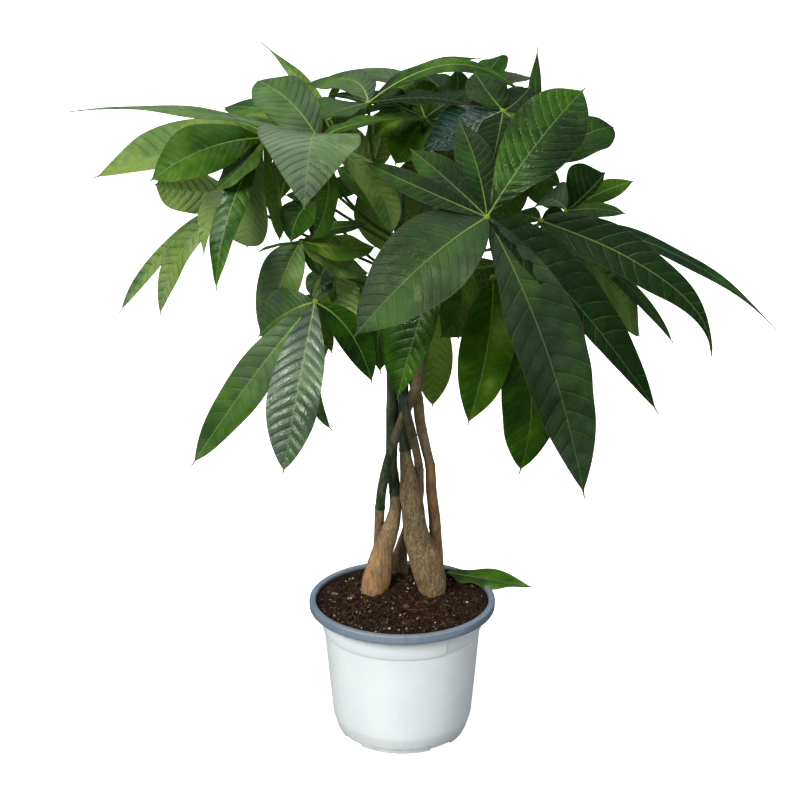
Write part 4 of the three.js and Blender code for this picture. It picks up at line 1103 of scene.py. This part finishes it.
def turned_about(vector, axis, degrees):
    """The vector turned about the axis by each of the angles."""
    angles = np.radians(degrees)[:, None]
    return (vector * np.cos(angles) + np.cross(axis, vector) * np.sin(angles)
            + axis * (axis @ vector) * (1 - np.cos(angles)))


def closing_faces(rows, columns):
    """The quads that join the margins of an upper grid of points to those of a lower one."""
    count = rows * columns
    grid = np.arange(count).reshape(rows, columns)
    made = []
    for line, flip in ((grid[:, 0], False), (grid[:, -1], True), (grid[0], True), (grid[-1], False)):
        quads = np.stack([line[:-1], line[:-1] + count, line[1:] + count, line[1:]], -1)
        made.append(quads[:, ::-1] if flip else quads)
    return made


def add_leaflet(shape, hub, middle, tip, faces, width, turn, looks, seed):
    draw = np.random.default_rng(seed)
    pull = 2 * middle - 0.5 * hub - 0.5 * tip
    chord = unit(tip - hub)
    length = np.linalg.norm(middle - hub) + np.linalg.norm(tip - middle)
    rows = int(np.clip(length / ROW_STEP, *ROW_LIMITS))
    t = np.linspace(0, 1, rows)
    u = t[:, None]
    centres = (1 - u) ** 2 * hub + 2 * u * (1 - u) * pull + u * u * tip
    runs = unit((1 - u) * (pull - hub) + u * (tip - pull))
    lift = unit(faces - chord * (faces @ chord))
    twist = looks["twist"] + draw.uniform(-TWIST_SCATTER, TWIST_SCATTER)
    lift = turned_about(lift, chord, turn + twist * (2 * t - 1))
    above = unit(lift - runs * (lift * runs).sum(-1, keepdims=True))
    side = np.cross(above, runs)
    # Columns of points: the rib's middle and edge, then evenly out to the margin on each side.
    rib = RIB_RADIUS * (1 - 0.7 * t)
    shares = np.linspace(0, 1, SIDE_COLUMNS)
    signed = []
    for number, way in enumerate((1, -1)):
        uneven = 1 + MARGIN_UNEVEN * ripple(centres, 26, seed + 5 + number)
        reach = width / 2 * (1 + way * looks["lean"]) * outline(t, looks["widest"], looks["blunt"]) * uneven
        half = np.maximum(rib + 0.25, reach)
        signed.append(way * (rib[:, None] + (half - rib)[:, None] * shares))
    signed = np.hstack([signed[1][:, ::-1], np.zeros((rows, 1)), signed[0]])
    away = np.abs(signed)
    left = signed > 0
    half = np.where(left, away[:, -1:], away[:, :1])
    share = away / half
    # The phase grows by one from each side vein to the next, and the blade is quilted between them.
    gap = max(VEIN_GAP, length / VEINS_PER_BLADE)
    bent = VEIN_WANDER * ripple(centres, 40, seed + 7)[:, None]
    phase = (u * length - VEIN_SLANT * away - VEIN_BEND * away * share) / gap
    phase = phase + np.where(left, VEIN_SHIFT, 0.0) + bent
    pillow = np.abs(np.sin(math.pi * phase)) ** 0.6 - 0.6
    inner = step(0.0, 0.22, share) * step(1.0, 0.72, share) * step(0, 0.12, u) * step(1, 0.85, u)
    uneven = 1 + 0.45 * ripple(np.stack([phase * 6, away, left * 50.0], -1), 22, seed + 9)
    quilt = QUILT_HEIGHT * looks["quilt"] * pillow * inner * uneven * min(1.0, width / FULL_WIDTH)
    fold = looks["fold"] * (1 - 0.35 * u) * away * (1 - 0.55 * share)
    # Each margin waves on its own.
    turns = draw.uniform(*MARGIN_WAVES, 2)
    phases = draw.uniform(0, 2 * math.pi, 2)
    swings = [np.sin(2 * math.pi * (turns[k] * u + 0.12 * np.sin(5 * u)) + phases[k]) for k in (0, 1)]
    wave = looks["wave"] * half * np.where(left, swings[0], swings[1]) * share ** 2
    sway = SWAY_HEIGHT * ripple(centres, 60, seed + 3)[:, None] * step(0, 0.3, u)
    height = fold + quilt + wave + sway
    top = centres[:, None] + side[:, None] * signed[..., None] + above[:, None] * height[..., None]
    normals = unit(np.cross(np.gradient(top, axis=1), np.gradient(top, axis=0)))
    normals *= np.sign((normals * above[:, None]).sum(-1, keepdims=True))
    # The rib is a groove above and a ridge below, where the side veins stand out too.
    rib_shape = bell(away, 1.1 * rib[:, None])
    to_vein = np.abs((phase + 0.5) % 1.0 - 0.5)
    ridge = VEIN_RIDGE * bell(to_vein, 0.07) * inner
    depth = BLADE_THICKNESS * (1 - 0.5 * u) + RIB_DEPTH * (1 - 0.75 * u) * rib_shape + ridge
    bottom = top - normals * depth[..., None]
    groove = RIB_GROOVE * rib_shape * (1 - 0.6 * u)
    top = top + normals * groove[..., None]
    columns = signed.shape[1]
    count = rows * columns
    upper = grid_faces(rows, columns)
    lower = grid_faces(rows, columns, count)[:, ::-1]
    place = stacked(phase, away, u).reshape(-1, 3)
    quilt_sheen_side = stacked(looks["quilt"], looks["sheen"], signed / half).reshape(-1, 3)
    tone = looks["tone"] + draw.uniform(-TONE_SCATTER, TONE_SCATTER)
    under = np.repeat([0, 1], count)
    shape.add(
        np.vstack([top.reshape(-1, 3), bottom.reshape(-1, 3)]), [upper, lower, *closing_faces(rows, columns)],
        np.vstack([place, place]), stacked(tone, under, looks["gloss"]), np.vstack([quilt_sheen_side, quilt_sheen_side]))


def bezier(p0, p1, p2, p3, steps):
    u = np.linspace(0, 1, steps)[:, None]
    return (1 - u) ** 3 * p0 + 3 * u * (1 - u) ** 2 * p1 + 3 * u * u * (1 - u) * p2 + u ** 3 * p3


def add_stalk(shape, stem, share, hub, faces, tone):
    on_stem, run, radius = stem.place(share)
    out = hub - on_stem
    out = unit(out - run * (out @ run))
    start = on_stem + out * (radius + STALK_GAP)
    reach = np.linalg.norm(hub - start)
    pull = start + out * 0.3 * reach + run * 0.12 * reach
    line = bezier(start, pull, hub - faces * 0.3 * reach, hub, STALK_STEPS)
    along = np.linspace(0, 1, STALK_STEPS)
    # The stalk swells where it leaves the stem and under the hub, where it is paler.
    radii = STALK_RADIUS * (0.82 + 0.5 * step(0.08, 0.0, along) + 0.3 * step(0.93, 1.0, along))
    pale = -1.0 - 2.0 * step(0.9, 1.0, along)
    rings, _ = tube_rings(line, radii, STALK_SIDES)
    add_rings(shape, rings, line, stacked(0, pale, along), (tone, 0, 0.4))


def add_hub(shape, hub, faces, tone, seed):
    points, triangles = ball(3)
    lumps = 1 + 0.16 * ripple(points, 0.8, seed)
    flat = points - faces * (points @ faces)[:, None] * 0.35
    shape.add(hub + flat * lumps[:, None] * HUB_RADIUS, [triangles], (0, -3.0, 0), (tone, 0, 0.3))


def make_leaf(row, stems, material, seed):
    name, stem, share, hub, faces, leaf_looks, leaflets = row
    shape = Shape()
    hub_place = at(*hub)
    faces = facing(*faces)
    add_stalk(shape, stems[stem], share, hub_place, faces, leaf_looks["tone"])
    add_hub(shape, hub_place, faces, leaf_looks["tone"], seed)
    for number, leaflet in enumerate(leaflets):
        mid_across, mid_down, tip_across, tip_down, toward, nearer, width, turn, *own = leaflet
        middle = at(mid_across, mid_down, (hub[2] + toward) / 2 + nearer)
        tip = at(tip_across, tip_down, toward)
        looks = {**PLAIN_LOOKS, **leaf_looks, **(own[0] if own else {})}
        add_leaflet(shape, hub_place, middle, tip, faces, width, turn, looks, seed * 20 + number)
    return shape.build(f"foliage_{name}", material)


# ---------------------------------------------------------------- the whole plant
def fit(piece, node):
    """The piece moves with the pot's body and stands for a CAD node, whose part is hidden."""
    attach(piece, "root")
    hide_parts(node)


fit(make_pot(pot_material()), "pot")
fit(make_soil(soil_material()), "soil")
bark = bark_material()
stems = {name: Stem(name) for name in STEMS}
for number, stem in enumerate(stems.values()):
    fit(make_stem(stem, bark, number), f"stem_{stem.name}")
leaf_skin = leaf_material()
for number, row in enumerate(LEAVES):
    fit(make_leaf(row, stems, leaf_skin, number + 1), f"leaf_{row[0]}")
fallen = Shape()
add_leaflet(
    fallen, at(*FALLEN_BASE), at(*FALLEN_MIDDLE), at(*FALLEN_TIP), facing(*FALLEN_FACES), FALLEN_WIDTH, 0,
    {**PLAIN_LOOKS, **FALLEN_LOOKS}, 900)
fit(fallen.build("fallen_blade", leaf_skin), "fallen_leaflet")

# ---------------------------------------------------------------- floor, light and camera
FLOOR_REACH = 30.0
FLOOR_GLOW = 0.8
s = Shader("studio_floor")
floor_tone = s.mix(s.noise(s.here(), 0.8), (0.90, 0.90, 0.90), (0.93, 0.93, 0.93))
floor_body = s.node("BsdfPrincipled", Base_Color=floor_tone, Roughness=0.9)
floor_body.inputs["Emission Color"].default_value = (1.0, 1.0, 1.0, 1.0)
floor_body.inputs["Emission Strength"].default_value = FLOOR_GLOW
bpy.ops.mesh.primitive_plane_add(size=2 * FLOOR_REACH)
floor = bpy.context.object
floor.name = "studio_floor"
floor.data.materials.append(s.finish(floor_body.outputs[0]))
floor.visible_diffuse = False
floor.visible_glossy = False

# The sky is dark below and brightest overhead.
s = Shader("studio_sky", "worlds")
height = s.parts(s.node("TexCoord").outputs["Generated"])[2]
sky_tone = s.ramp(s.scaled(height, 0.5, 0.5), [
    (0.45, (0.10, 0.10, 0.10)), (0.72, (0.20, 0.205, 0.21)), (1.0, (1.0, 1.0, 1.0)),
])
bpy.context.scene.world = s.finish(s.node("Background", Color=sky_tone).outputs[0], "World")

PLANT_MIDDLE = (0.0, 0.0, 0.35)
POT_MIDDLE = (0.0, 0.0, 0.06)
DAYLIGHT = (0.97, 0.99, 1.0)
SKYLIGHT = (0.95, 0.98, 1.0)


def lamp(name, kind, power, colour, place, target=PLANT_MIDDLE, glints=True, **settings):
    """A lamp at a place, turned to its target. One that doesn't glint is left out of reflections."""
    data = bpy.data.lights.new(name, kind)
    data.energy = power
    data.color = colour
    for key, value in settings.items():
        setattr(data, key, value)
    made = bpy.data.objects.new(name, data)
    bpy.context.scene.collection.objects.link(made)
    made.visible_glossy = glints
    made.location = place
    way = np.array(target, float) - np.array(place, float)
    tilt = math.acos(-way[2] / np.linalg.norm(way))
    made.rotation_euler = (tilt, 0, math.atan2(way[1], way[0]) - math.pi / 2)


lamp("key_sun", "SUN", 3.15, (1.0, 0.985, 0.94), (-1.4, -2.05, 2.0), angle=0.45)
lamp("left_panel", "AREA", 10, DAYLIGHT, (-1.9, -0.7, 1.5), shape="DISK", size=1.0)
lamp("top_panel", "AREA", 10, SKYLIGHT, (0.0, 0.4, 2.3), shape="DISK", size=1.2)
lamp("front_fill", "SUN", 0.62, DAYLIGHT, (1.2, -1.8, 0.9), glints=False, angle=1.2)
lamp("back_fill", "SUN", 0.8, DAYLIGHT, (0.6, 2.2, 1.0), glints=False, angle=1.0)
lamp("pot_panel", "AREA", 0.1, SKYLIGHT, (1.3, -0.9, 0.3), POT_MIDDLE, shape="DISK", size=0.5, spread=0.35)

camera_data = bpy.data.cameras.new("front_camera")
camera_data.sensor_width = SENSOR_WIDTH
camera_data.lens = VIEW_FOCAL * SENSOR_WIDTH / PICTURE_WIDTH
camera = bpy.data.objects.new("front_camera", camera_data)
bpy.context.scene.collection.objects.link(camera)
camera.location = (VIEW_X * MM, -VIEW_DISTANCE * MM, VIEW_HEIGHT * MM)
camera.rotation_euler = (math.pi / 2 - VIEW_PITCH, 0, 0)
bpy.context.scene.camera = camera
bpy.context.scene.view_settings.view_transform = "Standard"
